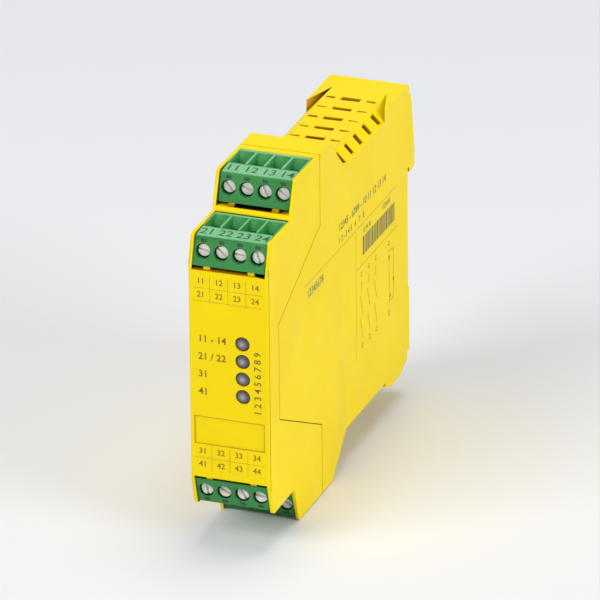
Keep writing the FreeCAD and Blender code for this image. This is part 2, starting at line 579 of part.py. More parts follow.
def make_contacts(name):
    """Four contact strips: a clamp bar, a run under the cage and a pin socket."""
    strips = []
    for pole in range(SIZES["poles"]):
        middle = f"({FIRST_POLE} + {pole} * {PITCH})"
        left = f"{middle} - bar_width / 2"
        right = f"{middle} + bar_width / 2"
        bar = block(f"{name}_bar_{pole + 1}", (left, BAR_FRONT, BAR_BOTTOM),
                    (right, f"{BAR_FRONT} + bar_thick", f"{CHAMBER_TOP} - strip_gap"))
        run = block(f"{name}_run_{pole + 1}", (left, BAR_FRONT, BAR_BOTTOM),
                    (right, f"{TONGUE_END} - socket_end", BAR_TOP))
        box = block(f"{name}_box_{pole + 1}", (left, "plug_length", BAR_BOTTOM),
                    (right, f"{TONGUE_END} - socket_end", f"{SOCKET_TOP} - strip_gap"))
        way = block(f"{name}_way_{pole + 1}",
                    (f"{middle} - {PIN_WAY}", "plug_length - cut_past", f"-pin_level - {PIN_WAY}"),
                    (f"{middle} + {PIN_WAY}", f"{TONGUE_END} + cut_past", f"-pin_level + {PIN_WAY}"))
        solid = joined(f"{name}_strip_{pole + 1}", [bar, run, box])
        strip = doc.addObject("Part::Cut", f"{name}_contact_{pole + 1}")
        strip.Base = solid
        strip.Tool = way
        strips.append(strip)
    return grouped(name, strips)


HEADER_FRONT = "(plug_length + header_set)"
HEADER_FLOOR = f"({TONGUE_END} + tongue_room)"
HEADER_END = f"({HEADER_FLOOR} + header_back)"


def make_header(name):
    body = new_body(name)
    across(body, "Pad", "shell", HEADER_WIDTH, rectangle(
        HEADER_FRONT, HEADER_END, "-tongue_level - header_gap - header_wall",
        "tongue_height - tongue_level + header_gap + header_wall"))
    across(body, "Pocket", "mouth", f"{TONGUE_WIDTH} + 2 * header_gap", rectangle(
        f"{HEADER_FRONT} - cut_past", HEADER_FLOOR, "-tongue_level - header_gap",
        "tongue_height - tongue_level + header_gap"))
    hole = along(body, "Pocket", "pin_hole", f"{HEADER_FLOOR} - cut_past", "header_back + 2 * cut_past", [
        rectangle(f"{FIRST_POLE} - pin_size / 2", f"{FIRST_POLE} + pin_size / 2",
                  "-pin_level - pin_size / 2", "-pin_level + pin_size / 2")])
    repeat(body, "pin_holes", [hole], "X_Axis", "poles", PITCH)
    return body


BOARD_FACE = "(board_thick + board_gap + side_wall - case_width / 2)"


def make_pins(name, over):
    """Four square pins that turn aside to the circuit board, one behind another."""
    pins = []
    hand = -1 if over else 1
    reach = f"{hand} * {BOARD_FACE}"
    for pole in range(SIZES["poles"]):
        middle = f"({FIRST_POLE} + {pole} * {PITCH})"
        rank = pole if hand > 0 else SIZES["poles"] - 1 - pole
        end = f"({HEADER_END} + tail_gap + pin_size + {rank} * tail_pitch)"
        low = "-pin_level - pin_size / 2"
        high = "-pin_level + pin_size / 2"
        blade = block(f"{name}_blade_{pole + 1}",
                      (f"{middle} - pin_size / 2", f"{HEADER_FRONT} + pin_inset", low),
                      (f"{middle} + pin_size / 2", end, high))
        if hand > 0:
            sides = (reach, f"{middle} + pin_size / 2")
        else:
            sides = (f"{middle} - pin_size / 2", reach)
        tail = block(f"{name}_tail_{pole + 1}", (sides[0], f"{end} - pin_size", low), (sides[1], end, high))
        pins.append(joined(f"{name}_pin_{pole + 1}", [blade, tail]))
    return grouped(name, pins)


SLOT_TURNS = (12, 38, 5, 72, 50, 20, 64, 33, 81, 27, 58, 9, 44, 15, 69, 30)
PLUG_SITES = [
    ("upper_front", STEP_Y, f"{STEP_Z} - plug_sink", False),
    ("upper_rear", CREST_Y, f"{TOP_Z} - plug_sink", False),
    ("lower_front", STEP_Y, f"plug_sink - {STEP_Z}", True),
    ("lower_rear", CREST_Y, f"plug_sink - {TOP_Z}", True),
]
for number, (site, site_y, site_z, over) in enumerate(PLUG_SITES):
    plug_y = f"{site_y} + plug_sink"
    nodes.append(place(make_plug(f"plug_{site}"), plug_y, site_z, over=over))
    nodes.append(place(make_contacts(f"contacts_{site}"), plug_y, site_z, over=over))
    nodes.append(place(make_header(f"header_{site}"), plug_y, site_z, over=over))
    nodes.append(place(make_pins(f"header_pins_{site}", over), plug_y, site_z, over=over))
    level = f"{site_z} + screw_level" if over else f"{site_z} - screw_level"
    for pole in range(SIZES["poles"]):
        middle = f"{FIRST_POLE} + {pole} * {PITCH}"
        turn = SLOT_TURNS[number * SIZES["poles"] + pole]
        nodes.append(place(make_screw(f"screw_{site}_{pole + 1}"), plug_y, level, middle, turn=turn))
        nodes.append(place(make_cage(f"cage_{site}_{pole + 1}"), f"{plug_y} + {CAGE_FRONT}", level, middle))

# ------------------------------------------------- light guide and the LEDs

guide = new_body("light_guide")
GUIDE_Y = f"({FACE_Y} + front_wall)"
LED_MIDDLE = "(led_top - (leds - 1) / 2 * led_pitch)"
along(guide, "Pad", "guide_bar", GUIDE_Y, "case_wall", [
    rectangle("led_offset - guide_width / 2", "led_offset + guide_width / 2",
              f"{LED_MIDDLE} - guide_length / 2", f"{LED_MIDDLE} + guide_length / 2")])
along(guide, "Pad", "guide_pipes", GUIDE_Y, "pipe_length", [
    rectangle("led_offset - pipe_size / 2", "led_offset + pipe_size / 2",
              f"led_top - {i} * led_pitch - pipe_size / 2", f"led_top - {i} * led_pitch + pipe_size / 2")
    for i in range(SIZES["leds"])])
along(guide, "Pad", "guide_lenses", f"{FACE_Y} + lens_sink", "front_wall", [
    (("led_offset", f"led_top - {i} * led_pitch"), "lens_radius") for i in range(SIZES["leds"])])
nodes.append(guide)

LED_Y = f"({GUIDE_Y} + pipe_length + led_gap)"
lamps = []
for lamp in range(SIZES["leds"]):
    level = f"(led_top - {lamp} * led_pitch)"
    dome = block(f"lamp_{lamp + 1}_dome", ("led_offset - led_size / 2", LED_Y, f"{level} - led_size / 2"),
                 ("led_offset + led_size / 2", f"{LED_Y} + led_length", f"{level} + led_size / 2"))
    legs = [block(f"lamp_{lamp + 1}_leg_{i + 1}",
                  (BOARD_FACE, f"{LED_Y} + {offset}", f"{level} - lead_size / 2"),
                  ("led_offset", f"{LED_Y} + {offset} + lead_size", f"{level} + lead_size / 2"))
            for i, offset in enumerate(("led_length - lead_end - lead_pitch", "led_length - lead_end"))]
    lamps.append(joined(f"lamp_{lamp + 1}_whole", [dome] + legs))
nodes.append(grouped("indicator_leds", lamps))

# ----------------------------------------------- circuit board and its parts

BOARD_TOP = f"({CAVITY_EAVES} - board_play)"
BOARD_SHELF = f"({SHELF_Z} - case_wall - 2 * board_play)"
BOARD_CREST = f"({TOP_Z} - case_wall - 2 * board_play)"
PLUG_BACK = f"(plug_sink + {HEADER_END} + notch_gap)"
BOARD_FOOT = f"{FOOT_Z} + case_wall + board_play"
BOARD_BEND = f"({CREST_END} - board_play)"
board = new_body("circuit_board")
board_plan = new_sketch(board, "board_plan", "YZ_Plane", f"{BOARD_FACE} - board_thick")
upper_board = [
    (f"{LED_Y} - board_front", f"{FACE_Z} - board_nose"),
    (f"{STEP_Y} + {PLUG_BACK}", f"{FACE_Z} - board_nose"),
    (f"{STEP_Y} + {PLUG_BACK}", BOARD_SHELF),
    (f"{CREST_Y} + {PLUG_BACK}", BOARD_SHELF),
    (f"{CREST_Y} + {PLUG_BACK}", BOARD_CREST),
    (BOARD_BEND, BOARD_CREST),
    (f"{BOARD_BEND} + {BOARD_CREST} - {BOARD_TOP}", BOARD_TOP)]
lower_board = [(y, f"-({z})") for y, z in reversed(upper_board)]
add_polygon(board_plan, upper_board + [
    ("-board_back", BOARD_TOP),
    ("-board_back", BOARD_FOOT),
    ("-foot_length - case_wall - foot_room", BOARD_FOOT),
    ("-foot_length - case_wall - foot_room", f"-{BOARD_TOP}")] + lower_board)
feature(board, "Pad", "board", board_plan, "board_thick")
nodes.append(board)


def make_relay(name, low):
    body = new_body(name)
    sketch = new_sketch(body, "relay_plan", "YZ_Plane", BOARD_FACE)
    add_polygon(sketch, rectangle("-relay_end - relay_length", "-relay_end", low, f"{low} + relay_height"))
    feature(body, "Pad", "relay_case", sketch, "relay_width")
    return body


nodes.append(make_relay("safety_relay_one", "relay_gap / 2"))
nodes.append(make_relay("safety_relay_two", "-relay_gap / 2 - relay_height"))

capacitor = doc.addObject("Part::Cylinder", "capacitor")
capacitor.setExpression("Radius", bound("can_radius"))
capacitor.setExpression("Height", bound("can_height"))
capacitor.Placement = FreeCAD.Placement(FreeCAD.Vector(), FreeCAD.Vector(0, 1, 0), 90)
nodes.append(place(capacitor, "-relay_end - relay_length / 2",
                   "relay_height + can_gap + can_radius", BOARD_FACE))

transformer = new_body("transformer")
coil_plan = new_sketch(transformer, "coil_plan", "YZ_Plane", BOARD_FACE)
COIL_Y = "(-relay_end - relay_length - coil_gap)"
add_polygon(coil_plan, rectangle(f"{COIL_Y} - coil_size", COIL_Y, "-coil_size / 2", "coil_size / 2"))
feature(transformer, "Pad", "coil_former", coil_plan, "coil_height")
core_plan = new_sketch(transformer, "core_plan", "YZ_Plane", f"{BOARD_FACE} + core_rise")
add_polygon(core_plan, rectangle(f"{COIL_Y} - coil_size - core_lip", f"{COIL_Y} + core_lip",
                                 "-core_width / 2", "core_width / 2"))
feature(transformer, "Pad", "core", core_plan, "coil_height - core_rise + core_lip")
nodes.append(transformer)

CHIPS = (("-relay_end", "relay_height + chip_gap"),
         ("-relay_end - chip_start - chip_pitch", "-relay_height - chip_drop"),
         ("-relay_end - chip_start", "-relay_height - chip_drop"),
         ("-relay_end - chip_far", "chip_level"))
chips = []
for number, (chip_y, chip_z) in enumerate(CHIPS, start=1):
    chips.append(block(f"chip_{number}", (BOARD_FACE, chip_y, chip_z),
                       (f"{BOARD_FACE} + chip_thick", f"{chip_y} + chip_length", f"{chip_z} + chip_height")))
nodes.append(grouped("control_chips", chips))

# ---------------------------------------------------- check and write files

doc.recompute()
faults = [o.Name for o in doc.Objects if "Invalid" in o.State or "Error" in o.State]
for node in nodes:
    if node.Shape.isNull() or not node.Shape.isValid() or not node.Shape.Solids:
        faults.append(node.Label)
if faults:
    raise SystemExit(f"failed: {', '.join(faults)}")
for node in nodes:
    node.Shape.exportStep(f"parts/{node.Label}.step")
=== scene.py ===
# %% [markdown]
# # A slim safety relay module
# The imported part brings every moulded, turned and stamped piece to its true size and place.
# This lesson dresses it: edges get the small radius that a mould or a press leaves, every
# surface gets a procedural finish, and the printed tables, the indicator lenses and the
# marks on the plugs are modelled on top. Each step says what the thing is on the real
# object, how it could be made in Blender, and why it is made the way it is.

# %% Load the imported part
import json
import math
import bmesh
import bpy
from mathutils import Matrix, Vector
from mathutils.bvhtree import BVHTree

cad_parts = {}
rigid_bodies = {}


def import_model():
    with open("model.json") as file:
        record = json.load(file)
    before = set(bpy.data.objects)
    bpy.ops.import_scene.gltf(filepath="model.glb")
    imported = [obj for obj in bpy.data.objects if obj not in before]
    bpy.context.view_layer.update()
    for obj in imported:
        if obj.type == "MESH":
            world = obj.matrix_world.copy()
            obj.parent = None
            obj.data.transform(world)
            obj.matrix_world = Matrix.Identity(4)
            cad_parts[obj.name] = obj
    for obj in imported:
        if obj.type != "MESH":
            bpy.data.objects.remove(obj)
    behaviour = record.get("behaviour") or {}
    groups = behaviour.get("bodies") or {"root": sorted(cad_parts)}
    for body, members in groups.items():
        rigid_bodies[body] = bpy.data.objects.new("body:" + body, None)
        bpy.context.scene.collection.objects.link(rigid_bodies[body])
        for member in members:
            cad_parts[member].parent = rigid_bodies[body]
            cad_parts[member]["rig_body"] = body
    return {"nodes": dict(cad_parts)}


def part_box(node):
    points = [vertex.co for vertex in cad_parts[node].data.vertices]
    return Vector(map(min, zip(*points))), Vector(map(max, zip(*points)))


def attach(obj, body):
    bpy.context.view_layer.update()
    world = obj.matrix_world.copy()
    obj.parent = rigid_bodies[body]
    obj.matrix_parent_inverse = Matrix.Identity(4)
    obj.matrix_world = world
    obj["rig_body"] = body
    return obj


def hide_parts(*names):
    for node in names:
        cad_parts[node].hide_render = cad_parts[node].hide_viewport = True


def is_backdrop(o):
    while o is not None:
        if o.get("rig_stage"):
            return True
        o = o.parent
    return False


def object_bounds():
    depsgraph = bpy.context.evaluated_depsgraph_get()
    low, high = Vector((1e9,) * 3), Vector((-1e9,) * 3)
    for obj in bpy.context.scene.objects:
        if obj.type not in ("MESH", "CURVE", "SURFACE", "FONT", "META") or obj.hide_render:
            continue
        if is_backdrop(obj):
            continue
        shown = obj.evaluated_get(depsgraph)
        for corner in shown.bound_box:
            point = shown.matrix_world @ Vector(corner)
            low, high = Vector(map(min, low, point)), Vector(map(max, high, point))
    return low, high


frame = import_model()
cad_low, cad_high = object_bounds()
MM = 0.001
scene = bpy.context.scene
print("box in mm:", [round(v / MM, 2) for v in (*cad_low, *cad_high)])

# %% [markdown]
# ## The camera
# A small product is best looked at from far away through a long lens, which keeps its edges
# nearly parallel. The camera could be turned with Euler angles, but building its three axes
# from the direction of sight is easier to check: right, up and backwards are the columns of
# its matrix. A hair of roll levels the part in the frame.

# %% Place a long-lens camera
AZIMUTH = math.radians(20.5)
ELEVATION = math.radians(24.0)
ROLL = math.radians(-0.55)
AIM = Vector((-1.2, -51.35, -1.75)) * MM
AWAY = 2.5
FOCAL_LENGTH = 558.0
SENSOR_WIDTH = 36.0
sight = Vector((
    -math.sin(AZIMUTH) * math.cos(ELEVATION),
    math.cos(AZIMUTH) * math.cos(ELEVATION),
    -math.sin(ELEVATION)))
level = Vector((math.cos(AZIMUTH), math.sin(AZIMUTH), 0.0))
upright = level.cross(sight)
to_right = level * math.cos(ROLL) + upright * math.sin(ROLL)
to_top = upright * math.cos(ROLL) - level * math.sin(ROLL)
camera = bpy.data.objects.new("camera", bpy.data.cameras.new("camera"))
scene.collection.objects.link(camera)
camera.matrix_world = Matrix((to_right, to_top, -sight)).transposed().to_4x4()
camera.location = AIM - sight * AWAY
camera.data.lens = FOCAL_LENGTH
camera.data.sensor_width = SENSOR_WIDTH
camera.data.clip_start = 0.05
camera.data.clip_end = 30.0
scene.camera = camera
print("camera at", [round(v, 3) for v in camera.location])

# %% [markdown]
# ## The studio
# The part stands on a plain pale floor in a pale room. One sun would give hard shadows, and a
# world alone would leave the faces without shape. So a weak world lifts every side evenly, and
# three large lamps model the tiers. The camera, gloss and glass see a plain light backdrop in
# place of the world, which keeps the background pale without putting more light on the part.

# %% Fill the room with pale light
ROOM_LIGHT = (0.98, 0.99, 1.0, 1.0)
ROOM_STRENGTH = 0.31
BACKDROP = (0.93, 0.93, 0.93, 1.0)
world = bpy.data.worlds.new("studio")
scene.world = world
world.use_nodes = True
sky = world.node_tree
sky.nodes.clear()
sky_out = sky.nodes.new("ShaderNodeOutputWorld")
room_light = sky.nodes.new("ShaderNodeBackground")
room_light.inputs["Color"].default_value = ROOM_LIGHT
room_light.inputs["Strength"].default_value = ROOM_STRENGTH
backdrop = sky.nodes.new("ShaderNodeBackground")
backdrop.inputs["Color"].default_value = BACKDROP
backdrop.inputs["Strength"].default_value = 1.0
ray = sky.nodes.new("ShaderNodeLightPath")
camera_or_gloss = sky.nodes.new("ShaderNodeMath")
camera_or_gloss.operation = "MAXIMUM"
any_look = sky.nodes.new("ShaderNodeMath")
any_look.operation = "MAXIMUM"
chosen = sky.nodes.new("ShaderNodeMixShader")
sky.links.new(ray.outputs["Is Camera Ray"], camera_or_gloss.inputs[0])
sky.links.new(ray.outputs["Is Glossy Ray"], camera_or_gloss.inputs[1])
sky.links.new(camera_or_gloss.outputs[0], any_look.inputs[0])
sky.links.new(ray.outputs["Is Transmission Ray"], any_look.inputs[1])
sky.links.new(any_look.outputs[0], chosen.inputs["Fac"])
sky.links.new(room_light.outputs[0], chosen.inputs[1])
sky.links.new(backdrop.outputs[0], chosen.inputs[2])
sky.links.new(chosen.outputs[0], sky_out.inputs["Surface"])
print("room strength:", ROOM_STRENGTH)

# %% [markdown]
# ## The lamps
# The key lamp stands in front, to the left and above, the side lamp stands low on the right so
# that the long wall stays bright, and the top lamp brings out the slopes and the vents. Small
# strong lamps would model the edges more sharply, but squares of about a metre give the soft
# shadows of a product studio. Their level is set so that a colour renders about as written.

# %% Set three soft lamps
def soft_lamp(name, place, size, power, tint):
    """A square area lamp that looks at the middle of the part."""
    lamp = bpy.data.lights.new(name, "AREA")
    lamp.shape = "SQUARE"
    lamp.size = size
    lamp.energy = power
    lamp.color = tint
    holder = bpy.data.objects.new(name, lamp)
    holder.location = place
    holder.rotation_euler = (AIM - Vector(place)).to_track_quat("-Z", "Y").to_euler()
    scene.collection.objects.link(holder)
    print(name, power, "W")


soft_lamp("key_lamp", place=(-0.75, -1.25, 1.15), size=1.0, power=15.5, tint=(1.0, 0.99, 0.98))
soft_lamp("side_lamp", place=(1.45, -0.45, 0.6), size=0.8, power=11.6, tint=(0.99, 0.995, 1.0))
soft_lamp("top_lamp", place=(0.1, 0.2, 1.6), size=0.8, power=9.5, tint=(1.0, 1.0, 1.0))
scene.view_settings.view_transform = "Standard"

# %% [markdown]
# ## Tools for materials
# Every finish below is made of the same few nodes. Adding them by hand in the shader editor is
# a good way to learn them, but short helpers keep a long list of finishes readable.

# %% Make the node tools
def colour(red, green, blue):
    """A linear colour from screen values of 0 to 255."""
    linear = []
    for value in (red, green, blue):
        part = value / 255.0
        linear.append(part / 12.92 if part <= 0.04045 else ((part + 0.055) / 1.055) ** 2.4)
    return (*linear, 1.0)


def group_socket(group, name, way, kind, value=None):
    """A named socket on a node group, with its starting value."""
    socket = group.interface.new_socket(name=name, in_out=way, socket_type=kind)
    if value is not None:
        socket.default_value = value
    return socket


def noise(tree, place, size, detail, roughness=0.5):
    """A noise texture that reads the given coordinates."""
    node = tree.nodes.new("ShaderNodeTexNoise")
    node.inputs["Scale"].default_value = size
    node.inputs["Detail"].default_value = detail
    node.inputs["Roughness"].default_value = roughness
    tree.links.new(place, node.inputs["Vector"])
    return node


def remap(tree, value, low, high, to_low=0.0, to_high=1.0):
    """Stretches a value from one range to another and keeps it inside."""
    node = tree.nodes.new("ShaderNodeMapRange")
    node.inputs["From Min"].default_value = low
    node.inputs["From Max"].default_value = high
    node.inputs["To Min"].default_value = to_low
    node.inputs["To Max"].default_value = to_high
    tree.links.new(value, node.inputs["Value"])
    return node.outputs["Result"]


def blend_colours(tree, factor, first, second):
    """Mixes the colours of two sockets."""
    node = tree.nodes.new("ShaderNodeMix")
    node.data_type = "RGBA"
    tree.links.new(factor, node.inputs["Factor"])
    tree.links.new(first, node.inputs[6])
    tree.links.new(second, node.inputs[7])
    return node.outputs[2]


def add(tree, first, second):
    """Adds the values of two sockets."""
    node = tree.nodes.new("ShaderNodeMath")
    node.operation = "ADD"
    tree.links.new(first, node.inputs[0])
    tree.links.new(second, node.inputs[1])
    return node.outputs[0]


print("a mid grey in linear light:", round(colour(128, 128, 128)[0], 3))

# %% [markdown]
# ## Moulded plastic
# Moulded plastic is never one flat colour. Under light it shows a fine spark-eroded grain,
# a slow drift of tone where the melt cooled, and patches that hands have polished. Painting
# an image would tie the pattern to one size, so noise on Object coordinates makes it instead,
# in a shader node group that the yellow, the green and the grey plastics all share. The group
# also reads how shut in each place is, and by that paints shade into recesses and holes. The
# Principled BSDF itself stays in each material.

# %% Build the moulded-plastic group
# Where the painted shade of recesses and holes starts and ends, by how shut in a place is.
CASE_STEPS = (0.55, 0.78, 0.78, 0.93)
STEP_NAMES = ("Recess from", "Recess to", "Hole from", "Hole to")
moulded = bpy.data.node_groups.new("moulded plastic", "ShaderNodeTree")
group_socket(moulded, "Colour", "INPUT", "NodeSocketColor", (0.8, 0.8, 0.8, 1.0))
group_socket(moulded, "Deep colour", "INPUT", "NodeSocketColor", (0.7, 0.7, 0.7, 1.0))
group_socket(moulded, "Recess colour", "INPUT", "NodeSocketColor", (0.4, 0.4, 0.4, 1.0))
group_socket(moulded, "Hole colour", "INPUT", "NodeSocketColor", (0.05, 0.05, 0.05, 1.0))
group_socket(moulded, "Patch size", "INPUT", "NodeSocketFloat", 60.0)
group_socket(moulded, "Grain size", "INPUT", "NodeSocketFloat", 3000.0)
group_socket(moulded, "Roughness", "INPUT", "NodeSocketFloat", 0.45)
for name, value in zip(STEP_NAMES, CASE_STEPS):
    group_socket(moulded, name, "INPUT", "NodeSocketFloat", value)
group_socket(moulded, "Colour", "OUTPUT", "NodeSocketColor")
group_socket(moulded, "Roughness", "OUTPUT", "NodeSocketFloat")
group_socket(moulded, "Height", "OUTPUT", "NodeSocketFloat")
given = moulded.nodes.new("NodeGroupInput")
result = moulded.nodes.new("NodeGroupOutput")
where = moulded.nodes.new("ShaderNodeTexCoord").outputs["Object"]
drift = noise(moulded, where, size=60.0, detail=3.0)
moulded.links.new(given.outputs["Patch size"], drift.inputs["Scale"])
drift_mask = remap(moulded, drift.outputs["Fac"], 0.35, 0.7)
tone = blend_colours(moulded, drift_mask, given.outputs["Colour"], given.outputs["Deep colour"])
# Painted shade: the more shut in a place is, the nearer its colour comes to the recess and hole
# shade colours.
shut_in = moulded.nodes.new("ShaderNodeAttribute")
shut_in.attribute_name = "shut_in"
for kind in ("Recess", "Hole"):
    depth = remap(moulded, shut_in.outputs["Fac"], 0.5, 1.0)
    moulded.links.new(given.outputs[kind + " from"], depth.node.inputs["From Min"])
    moulded.links.new(given.outputs[kind + " to"], depth.node.inputs["From Max"])
    tone = blend_colours(moulded, depth, tone, given.outputs[kind + " colour"])
moulded.links.new(tone, result.inputs["Colour"])
polish = noise(moulded, where, size=95.0, detail=4.0, roughness=0.6)
handled = remap(moulded, polish.outputs["Fac"], 0.3, 0.7, -0.06, 0.06)
moulded.links.new(add(moulded, given.outputs["Roughness"], handled), result.inputs["Roughness"])
grain = noise(moulded, where, size=3000.0, detail=2.0, roughness=0.65)
moulded.links.new(given.outputs["Grain size"], grain.inputs["Scale"])
speck = noise(moulded, where, size=900.0, detail=1.0)
relief = moulded.nodes.new("ShaderNodeMath")
relief.operation = "MULTIPLY_ADD"
moulded.links.new(speck.outputs["Fac"], relief.inputs[0])
relief.inputs[1].default_value = 0.35
moulded.links.new(grain.outputs["Fac"], relief.inputs[2])
moulded.links.new(relief.outputs[0], result.inputs["Height"])
print("group:", moulded.name, "with", len(moulded.nodes), "nodes")

# %% [markdown]
# ## Metal: plated, drawn and stamped
# The screws, cages, contacts and the capacitor can are all thin bright metal, and each shows
# the fine streaks of its tool and a faint dulling of the plating. A second group stretches
# noise along one axis for the streaks and lays a slow cloud over it for the dulling. How far
# each axis is stretched is an input, so a turned screw and a drawn can share it.

# %% Build the plated-metal group
plated = bpy.data.node_groups.new("plated metal", "ShaderNodeTree")
group_socket(plated, "Bright colour", "INPUT", "NodeSocketColor", (0.8, 0.8, 0.8, 1.0))
group_socket(plated, "Dull colour", "INPUT", "NodeSocketColor", (0.6, 0.6, 0.6, 1.0))
group_socket(plated, "Stretch", "INPUT", "NodeSocketVector", (900.0, 6000.0, 900.0))
group_socket(plated, "Roughness", "INPUT", "NodeSocketFloat", 0.35)
group_socket(plated, "Colour", "OUTPUT", "NodeSocketColor")
group_socket(plated, "Roughness", "OUTPUT", "NodeSocketFloat")
group_socket(plated, "Height", "OUTPUT", "NodeSocketFloat")
given = plated.nodes.new("NodeGroupInput")
result = plated.nodes.new("NodeGroupOutput")
where = plated.nodes.new("ShaderNodeTexCoord").outputs["Object"]
stretched = plated.nodes.new("ShaderNodeVectorMath")
stretched.operation = "MULTIPLY"
plated.links.new(where, stretched.inputs[0])
plated.links.new(given.outputs["Stretch"], stretched.inputs[1])
streak = noise(plated, stretched.outputs["Vector"], size=1.0, detail=3.0, roughness=0.6)
cloud = noise(plated, where, size=420.0, detail=3.0)
dulling = plated.nodes.new("ShaderNodeMath")
dulling.operation = "MULTIPLY"
plated.links.new(remap(plated, cloud.outputs["Fac"], 0.35, 0.65, to_low=0.2), dulling.inputs[0])
plated.links.new(remap(plated, streak.outputs["Fac"], 0.3, 0.7, to_low=0.3), dulling.inputs[1])
tone = blend_colours(
    plated, dulling.outputs[0], given.outputs["Bright colour"], given.outputs["Dull colour"])
plated.links.new(tone, result.inputs["Colour"])
handled = remap(plated, dulling.outputs[0], 0.0, 1.0, -0.05, 0.1)
plated.links.new(add(plated, given.outputs["Roughness"], handled), result.inputs["Roughness"])
plated.links.new(streak.outputs["Fac"], result.inputs["Height"])
print("group:", plated.name, "with", len(plated.nodes), "nodes")

# %% [markdown]
# ## The finishes
# Each finish is one Principled BSDF fed by one of the two groups. What changes over the
# surface comes out of the group; what is the same all over, such as how strongly the plastic
# reflects, is set on the shader's own socket.

# %% Make the finish makers
BUMP_DEPTH = 0.02 * MM


def finish_from(name, group, settings, bump, **plain):
    """A material: the group drives colour, roughness and bump, the rest is plain."""
    material = bpy.data.materials.new(name)
    material.use_nodes = True
    tree = material.node_tree
    tree.nodes.clear()
    out = tree.nodes.new("ShaderNodeOutputMaterial")
    shader = tree.nodes.new("ShaderNodeBsdfPrincipled")
    effect = tree.nodes.new("ShaderNodeGroup")
    effect.node_tree = group
    for key, value in settings.items():
        effect.inputs[key].default_value = value
    for key, value in plain.items():
        shader.inputs[key.replace("_", " ")].default_value = value
    height = tree.nodes.new("ShaderNodeBump")
    height.inputs["Strength"].default_value = bump
    height.inputs["Distance"].default_value = BUMP_DEPTH
    tree.links.new(effect.outputs["Height"], height.inputs["Height"])
    tree.links.new(height.outputs["Normal"], shader.inputs["Normal"])
    tree.links.new(effect.outputs["Colour"], shader.inputs["Base Color"])
    tree.links.new(effect.outputs["Roughness"], shader.inputs["Roughness"])
    tree.links.new(shader.outputs["BSDF"], out.inputs["Surface"])
    material.diffuse_color = effect.inputs[0].default_value
    return material


def plastic(name, main, deep, patch, grain, roughness, bump=0.35,
            recess=None, hole=None, steps=CASE_STEPS, **plain):
    """A moulded plastic in two close tones, with the painted shade of its recesses and holes."""
    settings = {
        "Colour": main, "Deep colour": deep, "Recess colour": recess or deep,
        "Hole colour": hole or deep, "Patch size": patch, "Grain size": grain,
        "Roughness": roughness, **dict(zip(STEP_NAMES, steps))}
    return finish_from(name, moulded, settings, bump, **plain)


def metal(name, bright, dull, stretch, roughness, metallic=1.0):
    """A plated metal with streaks along its drawing direction."""
    settings = {
        "Bright colour": bright, "Dull colour": dull, "Stretch": stretch, "Roughness": roughness}
    return finish_from(name, plated, settings, bump=0.3, Metallic=metallic)


print("depth of the bump in mm:", round(BUMP_DEPTH / MM, 3))

# %% [markdown]
# ## One finish for each material
# The case is warm yellow plastic, the plugs and headers are two greens, and the inside is
# plain electronics. The screws are plated and a little dull. As full metal they would mirror
# the dark ways that they stand in, so they are a bright non-metal with the metal's streaks;
# their near-white colour is partly the plating's pale tone and partly a painted reflection.
# The imported meshes name their materials, and that name picks the finish, which is quicker and
# surer than giving each object its material by hand.

# %% Mix each finish
PLUG_STEPS = (0.25, 0.55, 0.6, 0.82)
finishes = {
    # The recess and hole colours of the case and the plugs are painted shade, not the plastic's
    # own colour.
    "case_yellow": plastic(
        "case yellow", colour(251, 223, 8), colour(247, 216, 6), patch=38.0, grain=2600.0,
        roughness=0.45, recess=colour(196, 138, 10), hole=colour(16, 11, 4),
        Specular_IOR_Level=0.12),
    "plug_green": plastic(
        "plug green", colour(56, 138, 70), colour(48, 128, 62), patch=130.0, grain=3400.0,
        roughness=0.42, recess=colour(8, 122, 52), hole=colour(4, 20, 10), steps=PLUG_STEPS,
        Specular_IOR_Level=0.3),
    "header_green": plastic(
        "header green", colour(46, 128, 80), colour(38, 114, 70), patch=130.0, grain=3400.0,
        roughness=0.48),
    "clear_plastic": plastic(
        "smoked clear plastic", colour(84, 76, 70), colour(70, 62, 58), patch=400.0,
        grain=5200.0, roughness=0.22, bump=0.1),
    "circuit_board": plastic(
        "coated board", colour(34, 96, 54), colour(24, 78, 42), patch=210.0, grain=1800.0,
        roughness=0.38),
    "relay_case": plastic(
        "relay case plastic", colour(232, 232, 226), colour(216, 216, 208), patch=120.0,
        grain=3000.0, roughness=0.4),
    "chip_black": plastic(
        "chip epoxy", colour(34, 34, 36), colour(24, 24, 26), patch=300.0, grain=4600.0,
        roughness=0.6),
    "transformer_core": plastic(
        "varnished core", colour(72, 62, 54), colour(50, 42, 38), patch=260.0, grain=1500.0,
        roughness=0.5, bump=0.6),
    "indicator": plastic(
        "indicator epoxy", colour(222, 222, 216), colour(196, 196, 190), patch=500.0,
        grain=5200.0, roughness=0.2, bump=0.1),
    # Painted reflection: the screws' near-white colour stands in for plated metal catching the
    # lamps, over the plating's own pale tone.
    "screw_steel": metal(
        "screw steel", colour(253, 249, 243), colour(228, 220, 212),
        stretch=(700.0, 5200.0, 700.0), roughness=0.36, metallic=0.0),
    "clamp_metal": metal(
        "clamp steel", colour(206, 206, 204), colour(164, 162, 158),
        stretch=(5200.0, 900.0, 900.0), roughness=0.4),
    "contact_metal": metal(
        "tinned contact", colour(218, 214, 206), colour(176, 170, 160),
        stretch=(800.0, 5200.0, 800.0), roughness=0.34),
    "capacitor_can": metal(
        "sleeved can", colour(176, 180, 186), colour(140, 144, 152),
        stretch=(700.0, 700.0, 6000.0), roughness=0.4)}
slot_of = {
    name: node.data.materials[0].name.split(".")[0] for name, node in frame["nodes"].items()}
print("slots on the nodes:", sorted(set(slot_of.values())))
